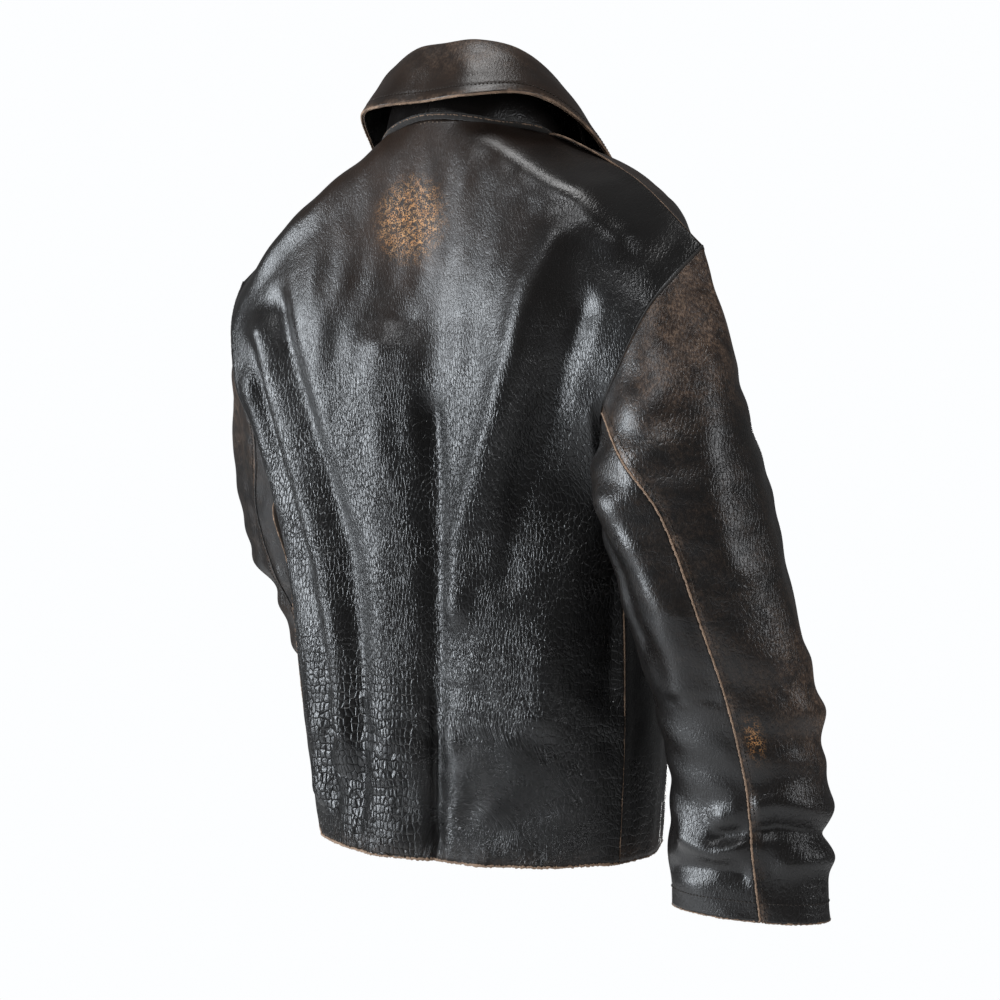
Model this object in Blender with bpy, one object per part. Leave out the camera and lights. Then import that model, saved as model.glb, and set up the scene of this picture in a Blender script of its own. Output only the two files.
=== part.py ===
"""A heavy leather work jacket as it hangs on a form, unfastened, in metres.

Frame: +Z up, the wearer faces -Y, so the wearer's left is +X. The origin is the centre-back point
of the neck seam. Half-widths below are measured from the centre plane, and SIDES gives each half
its sign. The leather panels are thin shells: a spline surface through rows of points, thickened
inwards with Solidify.
"""
import math

import bmesh
import bpy
from mathutils import Matrix, Vector

# ---------------------------------------------------------------- driving dimensions
LEATHER = 0.0016            # thickness of one layer of leather
BACK_INSET = 0.009          # share of the half back left open at its side seam
FRONT_INSET = 0.012         # share of a front's width left open at its side seam
TOP_SHARE = 0.9935          # share of a panel's height at which it stops below the shoulder seam
COLLAR_SEAM = 0.0030        # clearance between the neck seam and the collar stand
LAYER_GAP = 0.0009          # air between two layers that lie on each other
FOLD_GAP = 0.0055           # half the clearance along a front's fold line
SLEEVE_GAP = 0.004          # clearance between armhole and sleeve
SLEEVE_SEAM_TURN = 0.004    # half the open gap along a sleeve seam, as a share of a turn
SHOULDER = Vector((0.240, -0.047, -0.122))      # end of the shoulder seam
NECK_POINT = Vector((0.085, -0.062, -0.012))     # where the shoulder seam meets the collar
GORGE = Vector((0.026, -0.190, -0.100))         # top of the front edge
FOLD_TOP = Vector((0.050, -0.206, -0.085))      # the line each front folds open along
FOLD_BOTTOM = Vector((0.135, -0.243, -0.640))
SLEEVE_AXIS = Vector((0.222, -0.070, -0.119))   # the sleeves swing about Y through this point
SIDES = {"left": 1.0, "right": -1.0}

# Rows of the back, hem to shoulder: centre (y, z), bulge, then the outer end (half-width, y, z).
BACK_ROWS = {
    "right": [
        (0.000, -0.640, 0.000, (0.155, -0.063, -0.638)),
        (0.001, -0.520, 0.003, (0.160, -0.063, -0.520)),
        (0.002, -0.400, 0.009, (0.158, -0.063, -0.400)),
        (0.003, -0.310, 0.014, (0.152, -0.052, -0.330)),
        (0.003, -0.220, 0.017, (0.164, -0.014, -0.264)),
        (0.003, -0.140, 0.016, (0.188, 0.004, -0.225)),
        (0.002, -0.070, 0.009, (0.214, 0.002, -0.177)),
        (0.001, -0.028, 0.002, (0.230, -0.018, -0.148)),
    ],
    "left": [
        (0.000, -0.640, 0.000, (0.162, -0.063, -0.638)),
        (0.001, -0.520, 0.003, (0.182, -0.063, -0.520)),
        (0.002, -0.400, 0.009, (0.198, -0.063, -0.400)),
        (0.003, -0.310, 0.014, (0.210, -0.056, -0.330)),
        (0.003, -0.220, 0.017, (0.219, -0.036, -0.264)),
        (0.003, -0.140, 0.016, (0.228, -0.022, -0.225)),
        (0.002, -0.070, 0.009, (0.234, -0.022, -0.177)),
        (0.001, -0.028, 0.002, (0.237, -0.030, -0.148)),
    ],
}
BACK_COLUMNS = (0.0, 0.28, 0.55, 0.80, 1.0)
# The shoulder and neck seam, from the centre back to the end of the shoulder.
BACK_TOP = (
    Vector((0.0, 0.0, 0.0)),
    Vector((0.052, -0.018, -0.006)),
    NECK_POINT,
    Vector((0.165, -0.064, -0.055)),
    SHOULDER,
)
# Rows of the front, hem to shoulder: outer end, the two handles of its curve, and the front edge.
FRONT_ROWS = {
    "right": [
        ((0.155, -0.063, -0.638), (0.182, -0.135, -0.637), (0.125, -0.232, -0.630), (0.026, -0.232, -0.628)),
        ((0.160, -0.063, -0.520), (0.190, -0.135, -0.520), (0.130, -0.240, -0.518), (0.023, -0.240, -0.516)),
        ((0.158, -0.063, -0.400), (0.180, -0.135, -0.400), (0.130, -0.241, -0.398), (0.020, -0.241, -0.396)),
        ((0.152, -0.052, -0.330), (0.166, -0.125, -0.328), (0.134, -0.236, -0.310), (0.018, -0.236, -0.305)),
        ((0.160, -0.114, -0.285), (0.170, -0.165, -0.270), (0.120, -0.230, -0.240), (0.017, -0.230, -0.235)),
        ((0.176, -0.134, -0.235), (0.178, -0.180, -0.205), (0.115, -0.218, -0.180), (0.018, -0.220, -0.178)),
        ((0.200, -0.122, -0.185), (0.190, -0.168, -0.100), (0.110, -0.200, -0.120), (0.021, -0.207, -0.138)),
        ((0.224, -0.086, -0.150), (0.184, -0.104, -0.012), (0.100, -0.170, -0.045), (0.024, -0.198, -0.114)),
    ],
    "left": [
        ((0.162, -0.063, -0.638), (0.186, -0.135, -0.637), (0.125, -0.232, -0.630), (0.026, -0.232, -0.628)),
        ((0.182, -0.063, -0.520), (0.186, -0.135, -0.520), (0.130, -0.240, -0.518), (0.023, -0.240, -0.516)),
        ((0.198, -0.063, -0.400), (0.180, -0.135, -0.400), (0.130, -0.241, -0.398), (0.020, -0.241, -0.396)),
        ((0.210, -0.056, -0.330), (0.176, -0.125, -0.328), (0.134, -0.236, -0.310), (0.018, -0.236, -0.305)),
        ((0.186, -0.114, -0.285), (0.174, -0.165, -0.270), (0.120, -0.230, -0.240), (0.017, -0.230, -0.235)),
        ((0.190, -0.134, -0.235), (0.180, -0.180, -0.205), (0.115, -0.218, -0.180), (0.018, -0.220, -0.178)),
        ((0.206, -0.122, -0.185), (0.192, -0.168, -0.100), (0.110, -0.200, -0.120), (0.021, -0.207, -0.138)),
        ((0.226, -0.086, -0.150), (0.186, -0.104, -0.012), (0.100, -0.170, -0.045), (0.024, -0.198, -0.114)),
    ],
}
# The shoulder and neck seam again, from the end of the shoulder to the front edge.
FRONT_TOP = (
    SHOULDER,
    Vector((0.165, -0.064, -0.055)),
    NECK_POINT,
    Vector((0.062, -0.140, -0.056)),
    GORGE,
)
ARMPIT_ROW = 3              # the row of both tables at which the side seam ends
# Sleeve rings below the armhole: centre (half-width, y, z), half-axes across and fore-and-aft, and
# how much higher than its centre the ring's outer side lies.
SLEEVE_RINGS = {
    "right": [
        ((0.214, -0.040, -0.292), 0.060, 0.067, 0.060),
        ((0.232, -0.042, -0.352), 0.067, 0.065, 0.030),
        ((0.248, -0.047, -0.420), 0.071, 0.060, 0.010),
        ((0.261, -0.064, -0.492), 0.069, 0.054, 0.004),
        ((0.267, -0.075, -0.560), 0.068, 0.046, 0.000),
        ((0.266, -0.078, -0.620), 0.069, 0.040, 0.000),
        ((0.267, -0.079, -0.668), 0.070, 0.035, 0.000),
    ],
    "left": [
        ((0.240, -0.116, -0.292), 0.046, 0.060, 0.050),
        ((0.255, -0.156, -0.352), 0.052, 0.062, 0.024),
        ((0.252, -0.190, -0.414), 0.060, 0.060, 0.010),
        ((0.241, -0.224, -0.474), 0.064, 0.055, 0.004),
        ((0.230, -0.250, -0.540), 0.066, 0.048, 0.000),
        ((0.218, -0.268, -0.605), 0.068, 0.040, 0.000),
        ((0.208, -0.278, -0.660), 0.069, 0.035, 0.000),
    ],
}
# Angles round a sleeve, from its outer side rearwards, at which its two seams run; the back seam
# swings round from the first to the last of its angles on the way to the cuff.
BACK_SEAM_TOP_DEG = 140.0
BACK_SEAM_ELBOW_DEG = 84.0
BACK_SEAM_CUFF_DEG = 70.0
FRONT_SEAM_DEG = 285.0
# Half of the collar, centre back to front end: the neck seam, the fold and the leaf's outer edge.
NECK_SEAM = (
    (0.000, 0.000, 0.000), (0.028, -0.005, -0.002), (0.056, -0.021, -0.007), (0.084, -0.060, -0.011),
    (0.080, -0.100, -0.031), (0.066, -0.136, -0.055), (0.046, -0.170, -0.082),
)
COLLAR_FOLD = (
    (0.000, -0.030, 0.070), (0.032, -0.034, 0.070), (0.062, -0.052, 0.062), (0.077, -0.082, 0.044),
    (0.079, -0.122, 0.015), (0.068, -0.160, -0.022), (0.046, -0.188, -0.058),
)
COLLAR_EDGE = (
    (0.000, 0.004, 0.0135), (0.046, 0.007, 0.0135), (0.088, -0.026, 0.016), (0.110, -0.070, 0.001),
    (0.120, -0.118, -0.030), (0.114, -0.180, -0.074), (0.088, -0.234, -0.128),
)
LEAF_BULGE = 0.003          # how far the collar leaf swells out between fold and edge
SNAP_ROWS = (0.07, 0.25, 0.43, 0.61, 0.79)      # heights of the press studs, as shares of the front
SNAP_INSET = 0.016          # from the front edge to a press stud's centre
FACING_WIDTH = 0.042
SHANK_R = 0.0018
HOLE_R = 0.0023
CAP_R = 0.0075
CAP_H = 0.0028
SOCKET_R = 0.0062
SOCKET_H = 0.0022
STUD_R = 0.0026
STUD_H = 0.0026
SNAP_SIDES = 10
LOOP_WIDTH = 0.008          # the hanging loop inside the neck
LOOP_HALF_SPAN = 0.030
LOOP_DROP = 0.022

LEATHER_BLACK = (0.022, 0.021, 0.022, 1.0)
LEATHER_WORN = (0.050, 0.034, 0.026, 1.0)
SUEDE = (0.085, 0.062, 0.046, 1.0)
BRASS_DARK = (0.16, 0.13, 0.10, 1.0)


# ---------------------------------------------------------------- scene helpers
def clear_scene():
    for obj in list(bpy.data.objects):
        bpy.data.objects.remove(obj, do_unlink=True)


def make_material(name, colour, roughness, metallic=0.0):
    material = bpy.data.materials.new(name)
    material.use_nodes = True
    shader = material.node_tree.nodes["Principled BSDF"]
    shader.inputs["Base Color"].default_value = colour
    shader.inputs["Roughness"].default_value = roughness
    shader.inputs["Metallic"].default_value = metallic
    return material


def add_object(name, mesh, material):
    obj = bpy.data.objects.new(name, mesh)
    bpy.context.scene.collection.objects.link(obj)
    mesh.materials.append(material)
    mesh.shade_smooth()
    return obj


# ---------------------------------------------------------------- curves and surfaces
def spline(points, t):
    """A Catmull-Rom curve through the points, t from 0 to 1."""
    last = len(points) - 1
    at = min(max(t, 0.0), 1.0) * last
    i = min(int(at), last - 1)
    f = at - i
    b, c = points[i], points[i + 1]
    a = points[i - 1] if i > 0 else b * 2 - c
    d = points[i + 2] if i + 2 <= last else c * 2 - b
    return 0.5 * (b * 2 + (c - a) * f + (a * 2 - b * 5 + c * 4 - d) * f * f + (b * 3 - a - c * 3 + d) * f ** 3)


def bezier(p, t):
    s = 1.0 - t
    return p[0] * s ** 3 + p[1] * (3 * s * s * t) + p[2] * (3 * s * t * t) + p[3] * t ** 3


def mirrored(point, side):
    return Vector((point[0] * SIDES[side], point[1], point[2]))


def back_row(row, u):
    """A point of one row of the back, u from the centre line to the outer end."""
    centre_y, centre_z, bulge, end = row
    columns = []
    for q in BACK_COLUMNS:
        y = centre_y + (end[1] - centre_y) * q ** 3 + bulge * math.sin(math.pi * q) ** 2
        columns.append(Vector((end[0] * q, y, centre_z + (end[2] - centre_z) * q * q)))
    return spline(columns, u)


def back_point(side, u, v):
    rows = [back_row(row, u) for row in BACK_ROWS[side]]
    rows.append(spline(BACK_TOP, u))
    return mirrored(spline(rows, v), side)


def front_point(side, u, v):
    """A point of a front, u from the side seam to the front edge, v from hem to shoulder."""
    rows = [bezier([Vector(p) for p in row], u) for row in FRONT_ROWS[side]]
    rows.append(spline(FRONT_TOP, u))
    return mirrored(spline(rows, v), side)


def armhole_point(side, turn):
    """The armhole seam: turn 0 at the shoulder, 0.5 at the armpit, rearwards first."""
    low = ARMPIT_ROW / len(BACK_ROWS[side])
    if turn <= 0.5:
        return back_point(side, 1.0, 1.0 + (low - 1.0) * turn * 2)
    return front_point(side, 0.0, low + (1.0 - low) * (turn - 0.5) * 2)


def ring_point(side, ring, turn):
    (x, y, z), across, deep, tilt = ring
    angle = 2 * math.pi * turn
    higher = z + tilt * math.cos(angle)
    return mirrored((x + across * math.cos(angle), y + deep * math.sin(angle), higher), side)


def sleeve_point(side, turn, v):
    """A point of a sleeve: turn round it, v from armhole to cuff."""
    rings = [armhole_point(side, turn)]
    rings += [ring_point(side, ring, turn) for ring in SLEEVE_RINGS[side]]
    return spline(rings, v)


def collar_curve(half, t):
    """A symmetric curve from the right end (t 0) through the centre back to the left end (t 1)."""
    points = [Vector(p) for p in half]
    whole = [Vector((-p.x, p.y, p.z)) for p in reversed(points[1:])] + points
    return spline(whole, t)


def stand_point(t, v):
    return collar_curve(NECK_SEAM, t).lerp(collar_curve(COLLAR_FOLD, t), v)


def leaf_point(t, v):
    fold, edge = collar_curve(COLLAR_FOLD, t), collar_curve(COLLAR_EDGE, t)
    ahead = collar_curve(COLLAR_FOLD, t + 0.01) - collar_curve(COLLAR_FOLD, t - 0.01)
    out = ahead.cross(edge - fold).normalized()
    return fold.lerp(edge, v) + out * (LEAF_BULGE * math.sin(math.pi * v ** 0.7))


# ---------------------------------------------------------------- shells
def grid_mesh(name, point_at, columns, rows):
    """A mesh of columns x rows quads through point_at(s, t), both from 0 to 1."""
    bm = bmesh.new()
    grid = [[bm.verts.new(point_at(i / columns, j / rows)) for j in range(rows + 1)]
            for i in range(columns + 1)]
    for i in range(columns):
        for j in range(rows):
            bm.faces.new((grid[i][j], grid[i + 1][j], grid[i + 1][j + 1], grid[i][j + 1]))
    mesh = bpy.data.meshes.new(name)
    bm.to_mesh(mesh)
    bm.free()
    return mesh


def faces_point_to(mesh, outside):
    """Turns the faces round, if need be, so that the first points to the given place."""
    face = mesh.polygons[len(mesh.polygons) // 2]
    if face.normal.dot(outside - face.center) < 0:
        mesh.flip_normals()


def make_shell(name, point_at, columns, rows, material, outside, depth=0.0):
    """A panel one leather thick, whose outer face is the surface, or lies depth below it."""
    mesh = grid_mesh(name, point_at, columns, rows)
    faces_point_to(mesh, outside)
    if depth:
        mesh.update()
        moves = [v.normal.copy() for v in mesh.vertices]
        for vertex, normal in zip(mesh.vertices, moves):
            vertex.co -= normal * depth
    obj = add_object(name, mesh, material)
    solidify = obj.modifiers.new("thickness", "SOLIDIFY")
    solidify.thickness = LEATHER
    solidify.offset = -1.0
    return obj


def put_origin(obj, place):
    """Moves an object's origin to the given place without moving the object."""
    obj.data.transform(Matrix.Translation(-place))
    obj.location = place


def outside_of(side, x=0.0, y=0.0, z=-0.3):
    return Vector((SIDES[side] * x, y, z))


def inset(t, margin):
    """t from 0 to 1, drawn in by margin at both ends."""
    return margin + (1.0 - 2.0 * margin) * t


# ---------------------------------------------------------------- the body
def make_back(material):
    """The back in one piece, from the right side seam to the left one."""
    def point(s, t):
        across = 2.0 * s - 1.0
        side = "left" if across > 0 else "right"
        return back_point(side, abs(across) * (1.0 - BACK_INSET), TOP_SHARE * t)
    make_shell("back_panel", point, 18, 14, material, Vector((0.0, 1.0, -0.3)))


def fold_x(z):
    """Half-width of a front's fold line at height z."""
    share = (z - FOLD_TOP.z) / (FOLD_BOTTOM.z - FOLD_TOP.z)
    return FOLD_TOP.x + (FOLD_BOTTOM.x - FOLD_TOP.x) * share


def fold_u(side, v, offset):
    """Where a row of the front comes within offset of the fold line, by halving."""
    low, high = 0.0, 1.0
    for _ in range(30):
        middle = (low + high) / 2
        point = front_point(side, middle, v)
        if abs(point.x) > fold_x(point.z) + offset:
            low = middle
        else:
            high = middle
    return low


def front_side(side, s, t):
    v = TOP_SHARE * t
    start, end = FRONT_INSET, fold_u(side, v, FOLD_GAP)
    return front_point(side, start + (end - start) * s, v)


def front_flap(side, s, t):
    v = 0.985 * t
    start = fold_u(side, v, -FOLD_GAP)
    return front_point(side, start + (1.0 - start) * s, v)


def facing_start(side, v):
    """Where the facing's inner edge crosses a row of the front."""
    edge = front_point(side, 1.0, v)
    low, high = fold_u(side, v, -FOLD_GAP), 1.0
    for _ in range(20):
        middle = (low + high) / 2
        if (front_point(side, middle, v) - edge).length > FACING_WIDTH:
            low = middle
        else:
            high = middle
    return low


def front_facing(side, s, t):
    v = 0.985 * (0.006 + 0.965 * t)
    start = facing_start(side, v) + 0.02
    return front_point(side, start + (0.985 - start) * s, v)


def snap_frame(side, v):
    """Centre and outward normal of a press stud's seat on the front."""
    edge = front_point(side, 1.0, v)
    low, high = 0.5, 1.0
    for _ in range(30):
        middle = (low + high) / 2
        if (front_point(side, middle, v) - edge).length > SNAP_INSET:
            low = middle
        else:
            high = middle
    centre = front_point(side, low, v)
    along = front_point(side, low + 0.01, v) - front_point(side, low - 0.01, v)
    up = front_point(side, low, v + 0.01) - front_point(side, low, v - 0.01)
    normal = along.cross(up).normalized()
    return centre, normal if normal.y < 0 else -normal


def make_hole_cutter(side):
    """Round punches through flap and facing, one at each press stud."""
    bm = bmesh.new()
    for v in SNAP_ROWS:
        centre, normal = snap_frame(side, v)
        turn = normal.to_track_quat("Z", "Y").to_matrix().to_4x4()
        bmesh.ops.create_cone(bm, cap_ends=True, segments=10, radius1=HOLE_R, radius2=HOLE_R,
                              depth=0.02, matrix=Matrix.Translation(centre) @ turn)
    mesh = bpy.data.meshes.new("punch_" + side)
    bm.to_mesh(mesh)
    bm.free()
    cutter = bpy.data.objects.new("punch_" + side, mesh)
    bpy.context.scene.collection.objects.link(cutter)
    cutter.hide_render = True
    cutter.display_type = "WIRE"
    return cutter


def punch(obj, cutter):
    boolean = obj.modifiers.new("stud_holes", "BOOLEAN")
    boolean.operation = "DIFFERENCE"
    boolean.solver = "EXACT"
    boolean.object = cutter


def make_fronts(material, facing_material):
    for side in SIDES:
        ahead = outside_of(side, 0.05, -1.0)
        sideways = outside_of(side, 1.0, -0.5)
        make_shell("front_side_" + side, lambda s, t, side=side: front_side(side, s, t), 6, 14,
                   material, sideways)
        flap = make_shell("front_flap_" + side, lambda s, t, side=side: front_flap(side, s, t), 4, 14,
                          material, ahead)
        facing = make_shell("front_facing_" + side, lambda s, t, side=side: front_facing(side, s, t),
                            3, 14, facing_material, ahead, LEATHER + LAYER_GAP)
        cutter = make_hole_cutter(side)
        for piece in (flap, facing):
            punch(piece, cutter)
            put_origin(piece, mirrored(FOLD_TOP, side))


# ---------------------------------------------------------------- sleeves
def back_seam(t):
    """The back seam's share of a turn, t from armhole to cuff."""
    swing = (BACK_SEAM_TOP_DEG - BACK_SEAM_ELBOW_DEG) * (1.0 - t) ** 8
    slow = (BACK_SEAM_ELBOW_DEG - BACK_SEAM_CUFF_DEG) * (1.0 - t)
    return (BACK_SEAM_CUFF_DEG + slow + swing) / 360


def sleeve_sheet(side, turn, t):
    """A point of the sleeve's leather, t 0 lying SLEEVE_GAP below the armhole seam."""
    reach = (ring_point(side, SLEEVE_RINGS[side][0], turn) - armhole_point(side, turn)).length
    start = SLEEVE_GAP / reach / len(SLEEVE_RINGS[side])
    return sleeve_point(side, turn, start + (1.0 - start) * t)


def make_sleeves(material):
    front, gap = FRONT_SEAM_DEG / 360, SLEEVE_SEAM_TURN
    for side in SIDES:
        def top(s, t, side=side):
            start, end = front - 1.0 + gap, back_seam(t) - gap
            return sleeve_sheet(side, (start + (end - start) * s) % 1.0, t)

        def under(s, t, side=side):
            start, end = back_seam(t) + gap, front - gap
            return sleeve_sheet(side, start + (end - start) * s, t)

        outer = outside_of(side, 1.0, -0.1, -0.45)
        inner = outside_of(side, 0.0, -0.1, -0.45)
        upper = make_shell("sleeve_top_" + side, top, 10, 16, material, outer)
        lower = make_shell("sleeve_under_" + side, under, 10, 16, material, inner)
        for piece in (upper, lower):
            put_origin(piece, mirrored(SLEEVE_AXIS, side))


# ---------------------------------------------------------------- collar
def make_collar(material, under_material):
    centre_gap = 0.003
    for side in SIDES:
        def stand(s, t, side=side):
            share = 0.5 + SIDES[side] * (centre_gap + (0.5 - centre_gap) * s)
            height = (stand_point(share, 1.0) - stand_point(share, 0.0)).length
            low = COLLAR_SEAM / height
            return stand_point(share, low + (0.945 - low) * t)
        make_shell("collar_stand_" + side, stand, 12, 3, material, outside_of(side, 0.2, 1.0, 0.0))
    above = Vector((0.0, 1.0, 0.5))
    make_shell("collar_leaf_top", lambda s, t: leaf_point(inset(s, 0.004), 0.05 + 0.95 * t), 26, 5,
               material, above)
    make_shell("collar_leaf_under", lambda s, t: leaf_point(inset(s, 0.008), 0.20 + 0.77 * t), 26, 5,
               under_material, above, LEATHER + LAYER_GAP)


def make_hanging_loop(material):
    """A strip bent into a shallow U inside the back of the collar stand."""
    def point(s, t):
        across = (2 * s - 1) * LOOP_HALF_SPAN
        share = 0.5 + across / 0.42
        seat = stand_point(share, 0.52)
        drop = LOOP_DROP * (1 - (2 * s - 1) ** 2)
        forward = 0.0055 + 0.006 * math.sin(math.pi * s)
        return seat + Vector((0.0, -forward, -drop + LOOP_WIDTH * (t - 0.5)))
    make_shell("hanging_loop", point, 10, 2, material, Vector((0.0, -1.0, 0.03)))


# ---------------------------------------------------------------- press studs
def lathe(name, profile, material, centre, normal):
    """Turns the (radius, height) profile, which starts and ends on the axis, about local Z."""
    bm = bmesh.new()
    axis_low = bm.verts.new((0.0, 0.0, profile[0][1]))
    axis_high = bm.verts.new((0.0, 0.0, profile[-1][1]))
    rings = []
    for radius, height in profile[1:-1]:
        ring = []
        for k in range(SNAP_SIDES):
            angle = 2 * math.pi * k / SNAP_SIDES
            ring.append(bm.verts.new((radius * math.cos(angle), radius * math.sin(angle), height)))
        rings.append(ring)
    for k in range(SNAP_SIDES):
        after = (k + 1) % SNAP_SIDES
        bm.faces.new((axis_low, rings[0][after], rings[0][k]))
        for low, high in zip(rings, rings[1:]):
            bm.faces.new((low[k], low[after], high[after], high[k]))
        bm.faces.new((axis_high, rings[-1][k], rings[-1][after]))
    bmesh.ops.recalc_face_normals(bm, faces=bm.faces)
    mesh = bpy.data.meshes.new(name)
    bm.to_mesh(mesh)
    bm.free()
    obj = add_object(name, mesh, material)
    mesh.set_sharp_from_angle(angle=math.radians(40))
    obj.rotation_mode = "QUATERNION"
    obj.rotation_quaternion = normal.to_track_quat("Z", "Y")
    obj.location = centre
    return obj


def ring_profile(outer, bore, low, high):
    """Profile of a flat ring: closed by revolving it, with a bore right through."""
    return [(bore, low), (outer, low), (outer, high), (bore, high)]


def make_ring(name, outer, bore, low, high, material, centre, normal):
    """A turned ring about local Z, round the shank that passes through it."""
    bm = bmesh.new()
    rings = []
    for radius, height in ring_profile(outer, bore, low, high):
        ring = []
        for k in range(SNAP_SIDES):
            angle = 2 * math.pi * k / SNAP_SIDES
            ring.append(bm.verts.new((radius * math.cos(angle), radius * math.sin(angle), height)))
        rings.append(ring)
    for k in range(SNAP_SIDES):
        after = (k + 1) % SNAP_SIDES
        for i, low_ring in enumerate(rings):
            high_ring = rings[(i + 1) % len(rings)]
            bm.faces.new((low_ring[k], low_ring[after], high_ring[after], high_ring[k]))
    bmesh.ops.recalc_face_normals(bm, faces=bm.faces)
    mesh = bpy.data.meshes.new(name)
    bm.to_mesh(mesh)
    bm.free()
    obj = add_object(name, mesh, material)
    mesh.set_sharp_from_angle(angle=math.radians(40))
    obj.rotation_mode = "QUATERNION"
    obj.rotation_quaternion = normal.to_track_quat("Z", "Y")
    obj.location = centre
    return obj


def make_snaps(material):
    """Caps and sockets on the left front, studs and their backing rings on the right one."""
    lift = 0.0007                               # clears the leather's slight curve
    through = 2 * LEATHER + LAYER_GAP           # flap and facing together
    for number, v in enumerate(SNAP_ROWS, 1):
        centre, normal = snap_frame("left", v)
        shank_end = -(through + SOCKET_H * 0.7 + lift)
        cap = [(0, shank_end), (SHANK_R, shank_end), (SHANK_R, lift), (CAP_R, lift),
               (CAP_R, lift + 0.0009), (CAP_R * 0.8, lift + CAP_H * 0.8), (CAP_R * 0.4, lift + CAP_H),
               (0, lift + CAP_H)]
        lathe(f"snap_cap_{number}", cap, material, centre, normal)
        top = -(through + lift)
        make_ring(f"snap_socket_{number}", SOCKET_R, SHANK_R + 0.0004, top - SOCKET_H, top, material,
                  centre, normal)
        centre, normal = snap_frame("right", v)
        stud = [(0, shank_end), (SHANK_R, shank_end), (SHANK_R, lift), (SOCKET_R, lift),
                (SOCKET_R, lift + 0.0008), (STUD_R * 0.8, lift + 0.0008), (STUD_R, lift + STUD_H * 0.6),
                (STUD_R * 0.7, lift + STUD_H), (0, lift + STUD_H)]
        lathe(f"snap_stud_{number}", stud, material, centre, normal)
        make_ring(f"snap_backing_{number}", SOCKET_R, SHANK_R + 0.0004, top - 0.0012, top, material,
                  centre, normal)


def main():
    clear_scene()
    black = make_material("leather_black", LEATHER_BLACK, 0.38)
    worn = make_material("leather_worn", LEATHER_WORN, 0.45)
    suede = make_material("leather_under", SUEDE, 0.85)
    metal = make_material("snap_metal", BRASS_DARK, 0.35, 1.0)
    make_back(black)
    make_fronts(black, suede)
    make_sleeves(worn)
    make_collar(black, suede)
    make_hanging_loop(black)
    make_snaps(metal)


main()
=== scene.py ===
"""The leather jacket's looks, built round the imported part: the leather as fine curved sheets with
their folds, raw edges, stitching and studs, then materials, studio light and the camera.

The wearer faces -Y and the wearer's left is +X. Points and lengths are in metres.
"""
import math

import bmesh
import bpy
import numpy as np
from mathutils import Matrix, Vector

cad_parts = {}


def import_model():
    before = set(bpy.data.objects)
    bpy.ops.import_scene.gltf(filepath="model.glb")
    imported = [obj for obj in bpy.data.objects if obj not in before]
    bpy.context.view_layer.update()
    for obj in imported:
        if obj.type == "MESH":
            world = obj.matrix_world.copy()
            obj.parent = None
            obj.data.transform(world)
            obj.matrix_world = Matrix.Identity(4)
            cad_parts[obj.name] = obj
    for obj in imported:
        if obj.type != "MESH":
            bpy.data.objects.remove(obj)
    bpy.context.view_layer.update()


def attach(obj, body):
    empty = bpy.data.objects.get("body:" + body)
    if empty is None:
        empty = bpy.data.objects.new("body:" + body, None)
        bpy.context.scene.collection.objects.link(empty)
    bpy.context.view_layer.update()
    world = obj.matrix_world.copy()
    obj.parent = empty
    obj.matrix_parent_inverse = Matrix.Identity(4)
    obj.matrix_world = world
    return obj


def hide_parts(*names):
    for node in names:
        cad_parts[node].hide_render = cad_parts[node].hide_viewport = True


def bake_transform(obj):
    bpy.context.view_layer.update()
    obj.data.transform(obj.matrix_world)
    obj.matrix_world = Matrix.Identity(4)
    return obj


# ---------------------------------------------------------------- shape, as in the part
LEATHER = 0.0016
SHOULDER = (0.240, -0.047, -0.122)
NECK_POINT = (0.085, -0.062, -0.012)
GORGE = (0.026, -0.190, -0.100)
FOLD_TOP = (0.050, -0.206, -0.085)
FOLD_BOTTOM = (0.135, -0.243, -0.640)
SIDES = {"left": 1.0, "right": -1.0}
BACK_ROWS = {
    "right": [
        (0.000, -0.640, 0.000, (0.155, -0.063, -0.638)),
        (0.001, -0.520, 0.003, (0.160, -0.063, -0.520)),
        (0.002, -0.400, 0.009, (0.158, -0.063, -0.400)),
        (0.003, -0.310, 0.014, (0.152, -0.052, -0.330)),
        (0.003, -0.220, 0.017, (0.164, -0.014, -0.264)),
        (0.003, -0.140, 0.016, (0.188, 0.004, -0.225)),
        (0.002, -0.070, 0.009, (0.214, 0.002, -0.177)),
        (0.001, -0.028, 0.002, (0.230, -0.018, -0.148)),
    ],
    "left": [
        (0.000, -0.640, 0.000, (0.162, -0.063, -0.638)),
        (0.001, -0.520, 0.003, (0.182, -0.063, -0.520)),
        (0.002, -0.400, 0.009, (0.198, -0.063, -0.400)),
        (0.003, -0.310, 0.014, (0.210, -0.056, -0.330)),
        (0.003, -0.220, 0.017, (0.219, -0.036, -0.264)),
        (0.003, -0.140, 0.016, (0.228, -0.022, -0.225)),
        (0.002, -0.070, 0.009, (0.234, -0.022, -0.177)),
        (0.001, -0.028, 0.002, (0.237, -0.030, -0.148)),
    ],
}
BACK_COLUMNS = (0.0, 0.28, 0.55, 0.80, 1.0)
BACK_TOP = ((0.0, 0.0, 0.0), (0.052, -0.018, -0.006), NECK_POINT, (0.165, -0.064, -0.055), SHOULDER)
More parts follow.
